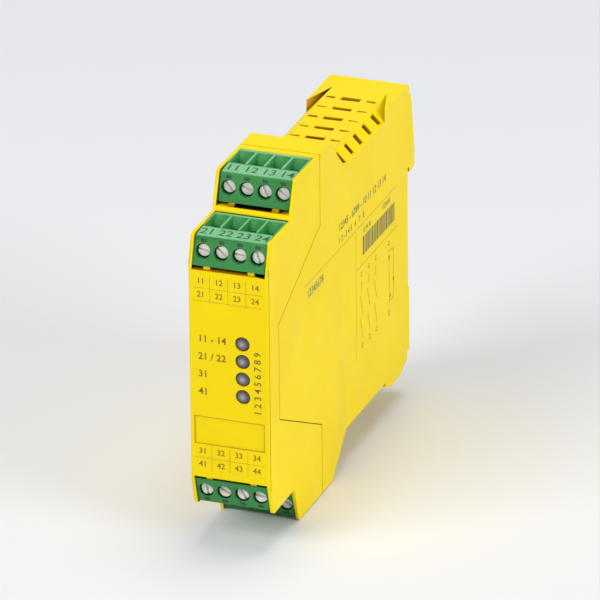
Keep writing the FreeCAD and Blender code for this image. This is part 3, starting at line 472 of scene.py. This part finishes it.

# %% [markdown]
# ## How shut in each face is
# A slot or a funnel looks deeper in tone than the wall around it, because light gets there
# only after several bounces off coloured plastic. Here that shade is painted into the colour.
# A baked image could hold it, but it would tie the part to one unwrapping. So each face corner
# of a softened moulding stores one number: the share of the room that is hidden from it,
# counted with a fan of rays, and the plastic group paints shade by that number. What hides it
# may be the moulding itself or a piece in front of it, and the second kind weighs more, which
# paints the narrow gaps between pieces as nearly black shade.

# %% Fan out the rays
RAY_COUNT = 20
GOLDEN_ANGLE = 2.4
RAYS = []
for step in range(RAY_COUNT):
    lean = math.sqrt((step + 0.5) / RAY_COUNT)
    angle = GOLDEN_ANGLE * step
    RAYS.append(Vector((
        lean * math.cos(angle), lean * math.sin(angle), math.sqrt(1.0 - lean * lean))))
print("rays from each face corner:", len(RAYS))


# %% Make the ray tools
def search_tree(nodes):
    """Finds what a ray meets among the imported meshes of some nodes."""
    points = []
    faces = []
    for node in nodes:
        mesh = frame["nodes"][node].data
        first = len(points)
        points.extend(vert.co for vert in mesh.vertices)
        faces.extend([first + index for index in face.vertices] for face in mesh.polygons)
    return BVHTree.FromPolygons(points, faces)


def share_hidden(tree, start, looks):
    """The share of the rays from a point that meet something."""
    return sum(tree.ray_cast(start, look)[0] is not None for look in looks) / len(looks)


print("nodes that a ray can meet:", len(frame["nodes"]))

# %% Store how shut in each corner is
LIFT = 0.2
INSET_SHARE = 0.35
INSET_LEAST = 0.15
INSET_MOST = 0.9
PIECES_WEIGHT = 0.95
PIECES_POWER = 3
BIG_FACE = 300.0
OPEN_CORNER = 0.55
OPEN_FACE_MOST = 0.5


def store_shut_in(shape, own, rest=None):
    """Stores at each face corner the share of the room that is hidden from it.

    A large face that is open at one corner gets little painted shade all over, because the
    shade would otherwise run across it in long wedges.
    """
    layer = shape.loops.layers.float.new("shut_in")
    for face in shape.faces:
        turn = Vector((0.0, 0.0, 1.0)).rotation_difference(face.normal)
        looks = [turn @ ray for ray in RAYS]
        shares = []
        for corner in face.loops:
            beside = min(corner.edge.calc_length(), corner.link_loop_prev.edge.calc_length())
            inset = min(INSET_MOST * MM, max(INSET_LEAST * MM, INSET_SHARE * beside))
            start = corner.vert.co + corner.calc_tangent() * inset + face.normal * LIFT * MM
            hidden = share_hidden(own, start, looks)
            if rest:
                behind = share_hidden(rest, start, looks)
                hidden = 1.0 - (1.0 - hidden) * (1.0 - PIECES_WEIGHT * behind) ** PIECES_POWER
            shares.append(hidden)
        if face.calc_area() > BIG_FACE * MM * MM and min(shares) < OPEN_CORNER:
            shares = [min(share, OPEN_FACE_MOST) for share in shares]
        for corner, share in zip(face.loops, shares):
            corner[layer] = share


print("each ray starts", LIFT, "mm off its face")

# %% [markdown]
# ## Softened mouldings
# A mould can't give a knife edge: every outer corner of the case has a radius of a few tenths
# of a millimetre, and that radius is what catches the light and tells the eye that this is
# plastic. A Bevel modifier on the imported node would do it, but that node's mesh is loose
# triangles and stays as it is. So a copy is merged, its flat triangles are dissolved into
# whole faces, and only the sharp edges with enough room beside them are bevelled; the copy
# then stands for the node.

# %% Find the edges with room for a radius
TIGHT_CORNER = math.radians(30.0)
ROOM_BESIDE = 2.2


def reach(face, edge):
    """How far a face runs away from one of its edges."""
    start = edge.verts[0].co
    along = (edge.verts[1].co - start).normalized()
    offsets = [vert.co - start for vert in face.verts]
    return max((offset - along * offset.dot(along)).length for offset in offsets)


def roomy(edge, width, shortest):
    """Whether an edge has room for a rounding of this width, in millimetres."""
    if edge.calc_length() < shortest * MM:
        return False
    if min(reach(face, edge) for face in edge.link_faces) < ROOM_BESIDE * width * MM:
        return False
    corners = [corner for loop in edge.link_loops for corner in (loop, loop.link_loop_next)]
    return min(corner.calc_angle() for corner in corners) > TIGHT_CORNER


print("a radius needs", ROOM_BESIDE, "times its width on both sides")

# %% Make the softening tools
MERGE_DISTANCE = 0.000003
FLAT_ANGLE = math.radians(0.5)
EDGE_ANGLE = math.radians(35.0)
SHADING_ANGLE = math.radians(40.0)


def into_scene(mesh, name, material, body):
    """Makes an object of a mesh, gives it its finish and lets it ride on its body."""
    mesh.materials.clear()
    mesh.materials.append(material)
    piece = bpy.data.objects.new(name, mesh)
    scene.collection.objects.link(piece)
    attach(piece, body)
    return piece


def softened(node, width, shortest=0.0, own=None, rest=None):
    """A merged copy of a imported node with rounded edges, standing for that node."""
    source = frame["nodes"][node]
    shape = bmesh.new()
    shape.from_mesh(source.data)
    bmesh.ops.remove_doubles(shape, verts=shape.verts, dist=MERGE_DISTANCE)
    bmesh.ops.dissolve_limit(
        shape, angle_limit=FLAT_ANGLE, use_dissolve_boundaries=False,
        verts=shape.verts, edges=shape.edges, delimit={"NORMAL"})
    hard = [
        edge for edge in shape.edges
        if edge.is_manifold and edge.is_convex and edge.calc_face_angle() > EDGE_ANGLE]
    bmesh.ops.bevel(
        shape, geom=[edge for edge in hard if roomy(edge, width, shortest)],
        offset=width * MM, offset_type="OFFSET", segments=2, profile=0.5,
        affect="EDGES", clamp_overlap=False, material=-1)
    for face in shape.faces:
        face.smooth = True
    shape.normal_update()
    if own:
        store_shut_in(shape, own, rest)
    mesh = bpy.data.meshes.new(node + "_moulded")
    shape.to_mesh(mesh)
    shape.free()
    mesh.set_sharp_from_angle(angle=SHADING_ANGLE)
    slot = slot_of[node]
    piece = into_scene(mesh, node + "_moulded", finishes[slot], source["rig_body"])
    even = piece.modifiers.new("even shading", "WEIGHTED_NORMAL")
    even.keep_sharp = True
    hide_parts(node)
    return piece


print("edges sharper than", round(math.degrees(EDGE_ANGLE)), "degrees are rounded")

# %% [markdown]
# ## Which pieces are softened
# Only what can be seen or handled is softened: the two shells, the latch, and the plugs with
# their headers and screws. Each takes the radius that suits its size. The shells leave their
# shortest edges sharp, because a radius there would run into the next one.

# %% Round the edges of the visible parts
SITES = ("upper_front", "upper_rear", "lower_front", "lower_rear")
POLE_COUNT = 4
of_case = [name for name, node in frame["nodes"].items() if node["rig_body"] == "case"]
case_alone = search_tree(of_case)
all_but_case = search_tree([name for name in frame["nodes"] if name not in of_case])
latch_alone = search_tree(["foot_latch"])
rounded = {
    "front_cover": softened(
        "front_cover", width=0.3, shortest=2.0, own=case_alone, rest=all_but_case),
    "rear_housing": softened(
        "rear_housing", width=0.3, shortest=2.5, own=case_alone, rest=all_but_case),
    "foot_latch": softened("foot_latch", width=0.25, own=latch_alone)}
for site in SITES:
    plug_and_metal = search_tree(
        [name for name in frame["nodes"] if site in name and "header" not in name])
    rounded["plug_" + site] = softened("plug_" + site, width=0.15, own=plug_and_metal)
    rounded["header_" + site] = softened("header_" + site, width=0.1)
    for pole in range(POLE_COUNT):
        name = f"screw_{site}_{pole + 1}"
        rounded[name] = softened(name, width=0.12)
face_count = sum(len(piece.data.polygons) for piece in rounded.values())
print("rounded:", len(rounded), "faces:", face_count)

# %% [markdown]
# ## The parts inside
# The cages, contacts, headers' pins, the board and what stands on it are only glimpsed through
# the funnels and vents, or when a plug is pulled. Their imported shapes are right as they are,
# so they keep their meshes and only take a procedural finish in their material slots. They
# could be softened like the shells, but nobody would see it, and every render would be slower.

# %% Give the inner parts their finish
inner = [name for name in frame["nodes"] if name not in rounded]
for name in inner:
    frame["nodes"][name].data.materials[0] = finishes[slot_of[name]]
print("kept with a finish:", len(inner))

# %% [markdown]
# ## The indicator lenses
# Each indicator is a small smoked dome in a round hole, with a painted highlight near its
# middle and painted shade at its rim, where the hole would shade it. A flattened sphere gives
# the dome, and its back half stays sunk in the light guide. The distance from the painted
# highlight is stored on the mesh as an attribute, so that the painted shading follows each
# lens wherever it sits.

# %% Model the four domes
PITCH = 5.08
LENS_RADIUS = 1.75 * MM
LENS_RISE = 0.42 * MM
LENS_SEAT = 0.22 * MM
LENS_X = 3.9 * MM
LENS_HEIGHTS = [10.3 - row * PITCH for row in range(4)]
# Where the painted highlight sits on each lens, a little off its middle.
PAINTED_HIGHLIGHT_SPOT = (-0.12, -0.1)
guide_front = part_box("light_guide")[0].y
domes = bmesh.new()
rim_layer = domes.verts.layers.float.new("rim")
for height in LENS_HEIGHTS:
    made = bmesh.ops.create_uvsphere(domes, u_segments=48, v_segments=24, radius=1.0)["verts"]
    for vert in made:
        from_spot = math.hypot(vert.co.x - PAINTED_HIGHLIGHT_SPOT[0], vert.co.z - PAINTED_HIGHLIGHT_SPOT[1])
        vert[rim_layer] = min(1.0, from_spot)
    bmesh.ops.scale(domes, verts=made, vec=(LENS_RADIUS, LENS_RISE, LENS_RADIUS))
    centre = Vector((LENS_X, guide_front + LENS_SEAT, height * MM))
    bmesh.ops.translate(domes, verts=made, vec=centre)
for face in domes.faces:
    face.smooth = True
lens_mesh = bpy.data.meshes.new("indicator_lenses")
domes.to_mesh(lens_mesh)
domes.free()
lens_front = min(vert.co.y for vert in lens_mesh.vertices)
print("lenses:", len(LENS_HEIGHTS), "front at", round(lens_front / MM, 2), "mm")

# %% [markdown]
# ## The painted highlight and shade of a lens
# A smoked lens looks palest near its middle and dark at its rim, where it meets the wall of its
# hole. Clear glass over a dark hole would show this by itself, but it renders slowly and with
# noise. A colour ramp over the stored distance paints the same highlight and shade into the
# colour at once, under a glossy coat that brings a real highlight as well.

# %% Shade the domes from spot to rim
# Painted highlight and shade: the ramp runs from a pale spot near the middle to a dark rim.
RIM_WEIGHT = 0.3
lens_grey = plastic(
    "lens smoke", colour(150, 150, 158), colour(124, 124, 134), patch=700.0, grain=5200.0,
    roughness=0.16, bump=0.05, Coat_Weight=1.0, Coat_Roughness=0.06)
tree = lens_grey.node_tree
base_colour = tree.nodes["Principled BSDF"].inputs["Base Color"]
rim = tree.nodes.new("ShaderNodeAttribute")
rim.attribute_name = "rim"
shade = tree.nodes.new("ShaderNodeValToRGB")
spot_end, rim_end = shade.color_ramp.elements
spot_end.position = 0.1
spot_end.color = colour(176, 176, 182)
rim_end.position = 1.0
rim_end.color = colour(46, 38, 32)
for position, tone in ((0.5, colour(122, 117, 120)), (0.82, colour(74, 66, 62))):
    shade.color_ramp.elements.new(position).color = tone
tree.links.new(rim.outputs["Fac"], shade.inputs["Fac"])
shaded = tree.nodes.new("ShaderNodeMix")
shaded.data_type = "RGBA"
shaded.blend_type = "MULTIPLY"
shaded.inputs["Factor"].default_value = RIM_WEIGHT
tree.links.new(shade.outputs["Color"], shaded.inputs[6])
tree.links.new(base_colour.links[0].from_socket, shaded.inputs[7])
tree.links.new(shaded.outputs[2], base_colour)
into_scene(lens_mesh, "indicator_lenses", lens_grey, "case")
print("tones from spot to rim:", len(shade.color_ramp.elements))

# %% [markdown]
# ## Pad-printed tables
# The face carries thin printed rules and small numbers that tell which terminal is which.
# A print has no depth worth modelling, yet it must not flicker against the face, so each
# stroke is a film a hundredth of a millimetre thick that stands two hundredths proud. Rules
# are flattened cubes; numbers are text turned into a mesh before it is moved into place.

# %% Mix the inks
def ink(name, main, deep):
    """A matt print ink in two close tones."""
    return plastic(name, main, deep, patch=900.0, grain=3000.0, roughness=0.6, bump=0.2)


ink_dark = ink("print ink", colour(116, 92, 10), colour(132, 106, 14))
# The faint ink is print on the tables and the side, and painted shade along the marking field's
# edge.
faint_ink_and_edge_shade = ink("faint print ink", colour(176, 140, 6), colour(186, 150, 8))
ink_green = ink("green print ink", colour(26, 66, 42), colour(36, 80, 52))
ink_side = ink("side print ink", colour(104, 98, 52), colour(122, 114, 60))
ink_mark = ink("cast mark green", colour(12, 44, 26), colour(20, 56, 34))
print("inks:", [each.name for each in (ink_dark, faint_ink_and_edge_shade, ink_green, ink_side, ink_mark)])

# %% Make the tools for prints and painted light
FILM = 0.012 * MM
FILM_LIFT = 1.6 * FILM
FIGURE_SHARE = 0.7


def plane_of(origin, across, upward):
    """The frame of a printed surface: x runs across, y upwards, z out of the surface."""
    across = Vector(across).normalized()
    upward = Vector(upward).normalized()
    axes = Matrix((across, upward, across.cross(upward))).transposed().to_4x4()
    axes.translation = Vector(origin) * MM
    return axes


def rule(film, start, end, width):
    """A straight film line between two points of the surface, in millimetres, used for prints
    and for painted shade and highlights.
    """
    first = Vector((*start, 0.0)) * MM
    last = Vector((*end, 0.0)) * MM
    run = last - first
    middle = Matrix.Translation((first + last) / 2.0)
    turn = Matrix.Rotation(math.atan2(run.y, run.x), 4, "Z")
    size = Matrix.Diagonal((run.length + width * MM, width * MM, FILM, 1.0))
    bmesh.ops.create_cube(film, size=1.0, matrix=middle @ turn @ size)


def words(film, text, place, height, turn=0.0, anchor="CENTER", weight=0.0):
    """Printed figures of a given height, centred on or starting at a point of the surface."""
    curve = bpy.data.curves.new("figures", "FONT")
    curve.body = text
    curve.size = height / FIGURE_SHARE * MM
    curve.align_x = anchor
    curve.align_y = "CENTER"
    curve.resolution_u = 2
    curve.extrude = FILM / 2.0
    curve.offset = weight * MM
    holder = bpy.data.objects.new("figures", curve)
    scene.collection.objects.link(holder)
    bpy.context.view_layer.update()
    depsgraph = bpy.context.evaluated_depsgraph_get()
    flat = bpy.data.meshes.new_from_object(holder.evaluated_get(depsgraph))
    bpy.data.objects.remove(holder)
    spot = Matrix.Translation(Vector((*place, 0.0)) * MM)
    flat.transform(spot @ Matrix.Rotation(turn, 4, "Z"))
    film.from_mesh(flat)
    bpy.data.meshes.remove(flat)


def lay_film_on(film, name, surface, material, body):
    """Lays a finished film on its surface."""
    lift = Matrix.Translation((0.0, 0.0, FILM_LIFT))
    bmesh.ops.transform(film, verts=film.verts, matrix=surface @ lift)
    bmesh.ops.recalc_face_normals(film, faces=film.faces)
    mesh = bpy.data.meshes.new(name)
    film.to_mesh(mesh)
    film.free()
    return into_scene(mesh, name, material, body)


print("film in mm:", round(FILM / MM, 3), "lifted by", round(FILM_LIFT / MM, 3))

# %% [markdown]
# ## The two terminal tables
# Near the top and the bottom of the face, a small table repeats the number of every terminal
# in its place. Each number could be typed and put down by hand. A loop over the same list that
# numbers the plugs is safer, because table and plug then always agree.

# %% Print the two terminal tables
cover_low, cover_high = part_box("front_cover")
face_plane = plane_of((0.0, cover_low.y / MM, 0.0), (1, 0, 0), (0, 0, 1))
NUMBERS = {
    "upper_rear": ("11", "12", "13", "14"), "upper_front": ("21", "22", "23", "24"),
    "lower_front": ("31", "32", "33", "34"), "lower_rear": ("41", "42", "43", "44")}
POLES = [(pole - 1.5) * PITCH for pole in range(POLE_COUNT)]
TABLE_LINE = 0.1
FIGURE_HEIGHT = 1.6
# Each table: its name, half its width, the ends of its upright rules, the heights of its
# level rules, and the height and site of each row of numbers.
TABLES = (
    ("upper", 9.6, (20.9, 28.5), (24.9, 21.2), ((26.9, "upper_rear"), (23.0, "upper_front"))),
    ("lower", 9.9, (-27.8, -20.9), (-24.3,), ((-22.3, "lower_front"), (-26.1, "lower_rear"))))
for name, half, (bottom, top), levels, rows in TABLES:
    lines = bmesh.new()
    for x in (-PITCH, 0.0, PITCH):
        rule(lines, (x, bottom), (x, top), TABLE_LINE)
    for z in levels:
        rule(lines, (-half, z), (half, z), TABLE_LINE)
    lay_film_on(lines, name + "_table", face_plane, faint_ink_and_edge_shade, "case")
    figures = bmesh.new()
    for z, site in rows:
        for x, number in zip(POLES, NUMBERS[site]):
            words(figures, number, (x, z), FIGURE_HEIGHT, weight=0.02)
    lay_film_on(figures, name + "_numbers", face_plane, ink_dark, "case")
print("numbers in the tables:", sum(len(row) for row in NUMBERS.values()))

# %% [markdown]
# ## What stands beside the indicators
# Each indicator says in plain numbers which terminals it watches, and one upright row of
# numbers runs up the right side. They could be placed by eye, but here they take the lenses'
# own heights, so each stays beside its lens.

# %% Print the indicator numbers
CAPTION_LEFT = -8.6
CAPTIONS = ("11 - 14", "21 / 22", "31", "41")
SIDEWAYS = math.radians(90.0)
captions = bmesh.new()
for height, text in zip(LENS_HEIGHTS, CAPTIONS):
    words(captions, text, (CAPTION_LEFT, height), 1.95, anchor="LEFT", weight=0.04)
words(captions, "1 2 3 4 5 6 7 8 9", (8.2, -0.6), 1.9, turn=SIDEWAYS, weight=0.03)
lay_film_on(captions, "indicator_numbers", face_plane, ink_dark, "case")
print("captions:", len(CAPTIONS))

# %% [markdown]
# ## The painted shade around the marking field
# The sunk field under the indicators takes a label that the user writes. Its edge is traced
# by four fine lines of painted shade, a little wider on the right and at the bottom, which
# make the shallow step easier to see. A Freestyle line would trace it too, but only in the
# render. A film line is part of the model.

# %% Trace the marking field
FIELD_SHADE_RULES = (
    ((-9.8, -12.2), (9.8, -12.2), 0.12), ((-9.85, -20.15), (-9.85, -12.2), 0.12),
    ((9.85, -20.15), (9.85, -12.2), 0.14), ((-9.8, -20.2), (9.85, -20.2), 0.14))
# Painted shade along the edge of the sunk field, a little wider on the right and at the bottom.
field_shade_film = bmesh.new()
for start, end, width in FIELD_SHADE_RULES:
    rule(field_shade_film, start, end, width)
lay_film_on(field_shade_film, "field_lines", face_plane, faint_ink_and_edge_shade, "case")
print("field lines:", len(FIELD_SHADE_RULES))

# %% [markdown]
# ## The prints on the side
# The flat right wall carries a printed panel: long rules, a run of bars, and a contact
# diagram of three broken lines with a bracket beside them. A picture on the wall would be
# quicker, but strokes of geometry stay sharp however near the camera comes. They are drawn in
# the wall's own plane, where the long axis runs backwards and the short one upwards.

# %% Rule the side panel
SIDE_TOP = 16.2
SIDE_SPLIT = -41.4
SIDE_RULES = (
    ((-80.5, SIDE_TOP), (-8.8, SIDE_TOP)), ((SIDE_SPLIT, 4.3), (-8.6, 4.3)),
    ((SIDE_SPLIT, SIDE_TOP), (SIDE_SPLIT, -22.4)))
SIDE_LINE = 0.16
wall_plane = plane_of((cover_high.x / MM, 0.0, 0.0), (0, 1, 0), (0, 0, 1))
side_rules = bmesh.new()
for start, end in SIDE_RULES:
    rule(side_rules, start, end, SIDE_LINE)
lay_film_on(side_rules, "side_rules", wall_plane, faint_ink_and_edge_shade, "case")
print("side rules:", len(SIDE_RULES))

# %% [markdown]
# ## The run of bars
# A row of upright bars in three widths fills the box between the rules. They stand for
# nothing, so a short pattern that repeats is enough. An Array modifier could repeat it, but a
# loop can also stop where the box ends.

# %% Print the run of bars
BAR_WIDTHS = (1.1, 0.6, 0.7)
BAR_GAP = 0.42
BARS_START, BARS_END = -36.0, -10.6
BARS_BOTTOM, BARS_TOP = 6.8, 12.2
bars = bmesh.new()
bar_count = 0
spot = BARS_START
while spot < BARS_END:
    width = BAR_WIDTHS[bar_count % len(BAR_WIDTHS)]
    middle = spot + width / 2.0
    rule(bars, (middle, BARS_BOTTOM + width / 2.0), (middle, BARS_TOP - width / 2.0), width)
    spot += width + BAR_GAP
    bar_count += 1
lay_film_on(bars, "side_bars", wall_plane, ink_side, "case")
print("bars:", bar_count)

# %% [markdown]
# ## The contact diagram
# Three contacts are drawn as lines that break where the switch opens, and a bracket with three
# arrowheads stands for the channel that watches them. A grease pencil drawing would do, but it
# stays behind when the part goes to another program. So it is made of the same rules.

# %% Draw the contact diagram and the rows of numbers
SMALL = 1.3
CONTACTS = ((-37.1, "0"), (-31.4, "2"), (-25.9, "3"))
BRACKET = (
    ((-15.4, -0.5), (-15.0, -16.4)), ((-15.4, -0.5), (-11.9, -0.9)),
    ((-11.9, -0.9), (-11.8, -15.4)), ((-11.8, -15.4), (-15.0, -15.4)))
ARROWS = ((-15.2, -2.8), (-11.8, -10.4), (-14.6, -14.2))
# Each row: its text, its left end, the height of its figures and how bold they are.
ROWS = (
    ("12345 - 6789 - 10 11 12 13 14", (-54.6, 22.2), 2.1, 0.04),
    ("1 2 - 3 4 5   6   7   8", (-54.6, 18.5), 1.7, 0.03),
    ("12345678", (-79.2, 13.0), 2.2, 0.04),
    ("12 34 56", (-36.0, 13.8), 1.3, 0.02),
    ("123456", (-20.6, 14.3), 1.5, 0.02))
panel = bmesh.new()
for y, contact in CONTACTS:
    words(panel, contact + "1", (y, 1.9), SMALL, turn=SIDEWAYS)
    rule(panel, (y, -0.5), (y, -3.2), 0.2)
    rule(panel, (y - 1.1, -4.4), (y + 0.6, -9.9), 0.2)
    rule(panel, (y - 1.0, -11.2), (y + 0.7, -17.3), 0.2)
    words(panel, contact + "2", (y + 0.4, -19.3), SMALL, turn=SIDEWAYS)
for start, end in BRACKET:
    rule(panel, start, end, 0.15)
words(panel, "41", (-15.5, 1.9), SMALL, turn=SIDEWAYS)
words(panel, "42", (-15.4, -18.8), SMALL, turn=SIDEWAYS)
for y, z in ARROWS:
    for side in (-0.5, 0.5):
        rule(panel, (y + side, z + 0.7), (y, z - 0.3), 0.3)
for text, place, height, weight in ROWS:
    words(panel, text, place, height, anchor="LEFT", weight=weight)
lay_film_on(panel, "side_panel", wall_plane, ink_side, "case")
print("contacts drawn:", len(CONTACTS), "rows of numbers:", len(ROWS))

# %% [markdown]
# ## What each plug carries
# The sloping strip in front of the funnels is a paler green, partly its own lighter tone and
# partly painted top light, and each pole has its number on it, with a small cast mark above
# the screw. The tops of the ribs between the poles carry a pale painted highlight. All of it
# is laid on as thin pieces that ride on the plug, so they come away with it. Painting the
# plug's faces would be simpler, but its edge would follow the packed triangles. The lower
# plugs are the same moulding turned over.

# %% Make the pieces of one plug
STRIP_WIDTH_MARGIN = 0.25 * MM
STRIP_LENGTH = 4.9 * MM
STRIP_THICK = 0.03 * MM
STRIP_MIDDLE = 2.75 * MM
STRIP_CORNER = 0.3 * MM
FIGURE_LIFT = 0.02 * MM
MARK_STROKES = (-0.6, -0.1, 0.45)
RIB_START, RIB_END = 5.8, 13.9
RIBS = ((-9.96, 0.3), (-PITCH, 0.6), (0.0, 0.6), (PITCH, 0.6), (9.96, 0.3))


def strip_inlay(half_width):
    """The strip, pale partly from its own lighter green and partly from painted top light: a
    thin plate with rounded corners.
    """
    inlay = bmesh.new()
    middle = Matrix.Translation((0.0, STRIP_MIDDLE, 0.0))
    size = Matrix.Diagonal((2.0 * half_width, STRIP_LENGTH, STRIP_THICK, 1.0))
    bmesh.ops.create_cube(inlay, size=1.0, matrix=middle @ size)
    corners = [
        edge for edge in inlay.edges
        if abs((edge.verts[0].co - edge.verts[1].co).z) > STRIP_THICK / 2.0]
    bmesh.ops.bevel(
        inlay, geom=corners, offset=STRIP_CORNER, segments=3, profile=0.5,
        affect="EDGES", material=-1)
    return inlay


def strip_figures(numbers):
    """The number of each pole, a little above the strip."""
    figures = bmesh.new()
    for x, number in zip(POLES, numbers):
        words(figures, number, (x, 2.8), 2.9, weight=0.03)
    bmesh.ops.translate(figures, verts=figures.verts, vec=(0.0, 0.0, FIGURE_LIFT))
    return figures


def cast_marks():
    """Three short strokes above each screw."""
    marks = bmesh.new()
    for x in POLES:
        for step in MARK_STROKES:
            rule(marks, (x + step, -0.8), (x + step + 0.15, -1.35), 0.38)
    return marks


def rib_highlight_films():
    """Painted highlights on the tops of the ribs and of the bar behind them."""
    ribs = bmesh.new()
    for x, width in RIBS:
        rule(ribs, (x, RIB_START + width / 2.0), (x, RIB_END - width / 2.0), width)
    rule(ribs, (-9.5, 14.4), (9.5, 14.4), 1.1)
    return ribs


print("ribs on a plug:", len(RIBS), "marks:", len(POLES))

# %% [markdown]
# ## Dressing the plugs
# Each plug has three places to dress: the slope in front of its funnels, the leaning face
# above its screws and the level top of its ribs. Copies of one dressed plug could be moved to
# the others, but their numbers differ. So each plug is dressed by the same loop, in planes
# that are found from its own box.

# %% Dress the four plugs
PLUG_FRONT = {"front": -105.6, "rear": -86.4}
SLOPE_RUN = 5.3
SLOPE_FALL = 0.5
FACE_TILT = math.radians(17.0)
RIGHT = (1, 0, 0)
# The strip's pale green is partly its own lighter tone and partly painted top light.
strip_green_and_highlight = plastic(
    "pale strip green", colour(116, 188, 132), colour(106, 178, 122), patch=160.0,
    grain=3200.0, roughness=0.46, bump=0.25)
# Painted highlight: the pale green on the rib tops stands for light from above.
rib_highlight_green = plastic(
    "rib green", colour(108, 190, 132), colour(98, 180, 122), patch=160.0,
    grain=3200.0, roughness=0.46, bump=0.25)
half_turn = Matrix.Rotation(math.pi, 4, "Y")
for site in SITES:
    low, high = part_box("plug_" + site)
    tier, depth = site.split("_")
    flip = half_turn if tier == "lower" else Matrix.Identity(4)
    top = -low.z / MM if tier == "lower" else high.z / MM
    front = PLUG_FRONT[depth]
    foot = (0.0, front, top - SLOPE_FALL)
    slope = flip @ plane_of(foot, RIGHT, (0, SLOPE_RUN, SLOPE_FALL))
    lean = flip @ plane_of(foot, RIGHT, (0, math.sin(FACE_TILT), math.cos(FACE_TILT)))
    level_top = flip @ plane_of((0.0, front, top), RIGHT, (0, 1, 0))
    half_width = (high.x - low.x) / 2.0 - STRIP_WIDTH_MARGIN
    for film, name, surface, material in (
            (strip_inlay(half_width), "strip_", slope, strip_green_and_highlight),
            (strip_figures(NUMBERS[site]), "strip_numbers_", slope, ink_green),
            (cast_marks(), "cast_marks_", lean, ink_mark),
            (rib_highlight_films(), "ribs_", level_top, rib_highlight_green)):
        lay_film_on(film, name + site, surface, material, "plug_" + site)
print("plugs dressed:", len(SITES))

# %% [markdown]
# ## The floor
# The floor is a plain pale sheet that keeps the soft shadow of the part. A curved backdrop
# would hide the horizon too, but from this height the camera never sees it. The sheet is
# marked as stage, because it is not part of the object.

# %% Lay the floor
FLOOR_SIZE = 6.0
FLOOR_GAP = 0.2 * MM
sheet = bmesh.new()
bmesh.ops.create_grid(sheet, x_segments=1, y_segments=1, size=FLOOR_SIZE)
bmesh.ops.translate(sheet, verts=sheet.verts, vec=(0.0, 0.0, cad_low.z - FLOOR_GAP))
floor_mesh = bpy.data.meshes.new("floor")
sheet.to_mesh(floor_mesh)
sheet.free()
floor = bpy.data.objects.new("floor", floor_mesh)
scene.collection.objects.link(floor)
paper = bpy.data.materials.new("floor paper")
paper.use_nodes = True
paper_shader = paper.node_tree.nodes["Principled BSDF"]
paper_shader.inputs["Base Color"].default_value = colour(234, 235, 239)
paper_shader.inputs["Roughness"].default_value = 0.9
floor_mesh.materials.append(paper)
floor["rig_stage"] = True
print("floor at", round((cad_low.z - FLOOR_GAP) / MM, 2), "mm")

# %% [markdown]
# ## Check the size and finish
# The dressed part must match the imported part's box; only the thin prints stand proud of it,
# by a few hundredths of a millimetre. The imported box was printed at the start, and here the
# dressed box is measured and how far it has grown is printed.

# %% Print how far the box has grown
final_low, final_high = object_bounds()
grown = zip((*final_low, *final_high), (*cad_low, *cad_high))
print("grown by mm:", [round((final - cad) / MM, 3) for final, cad in grown])
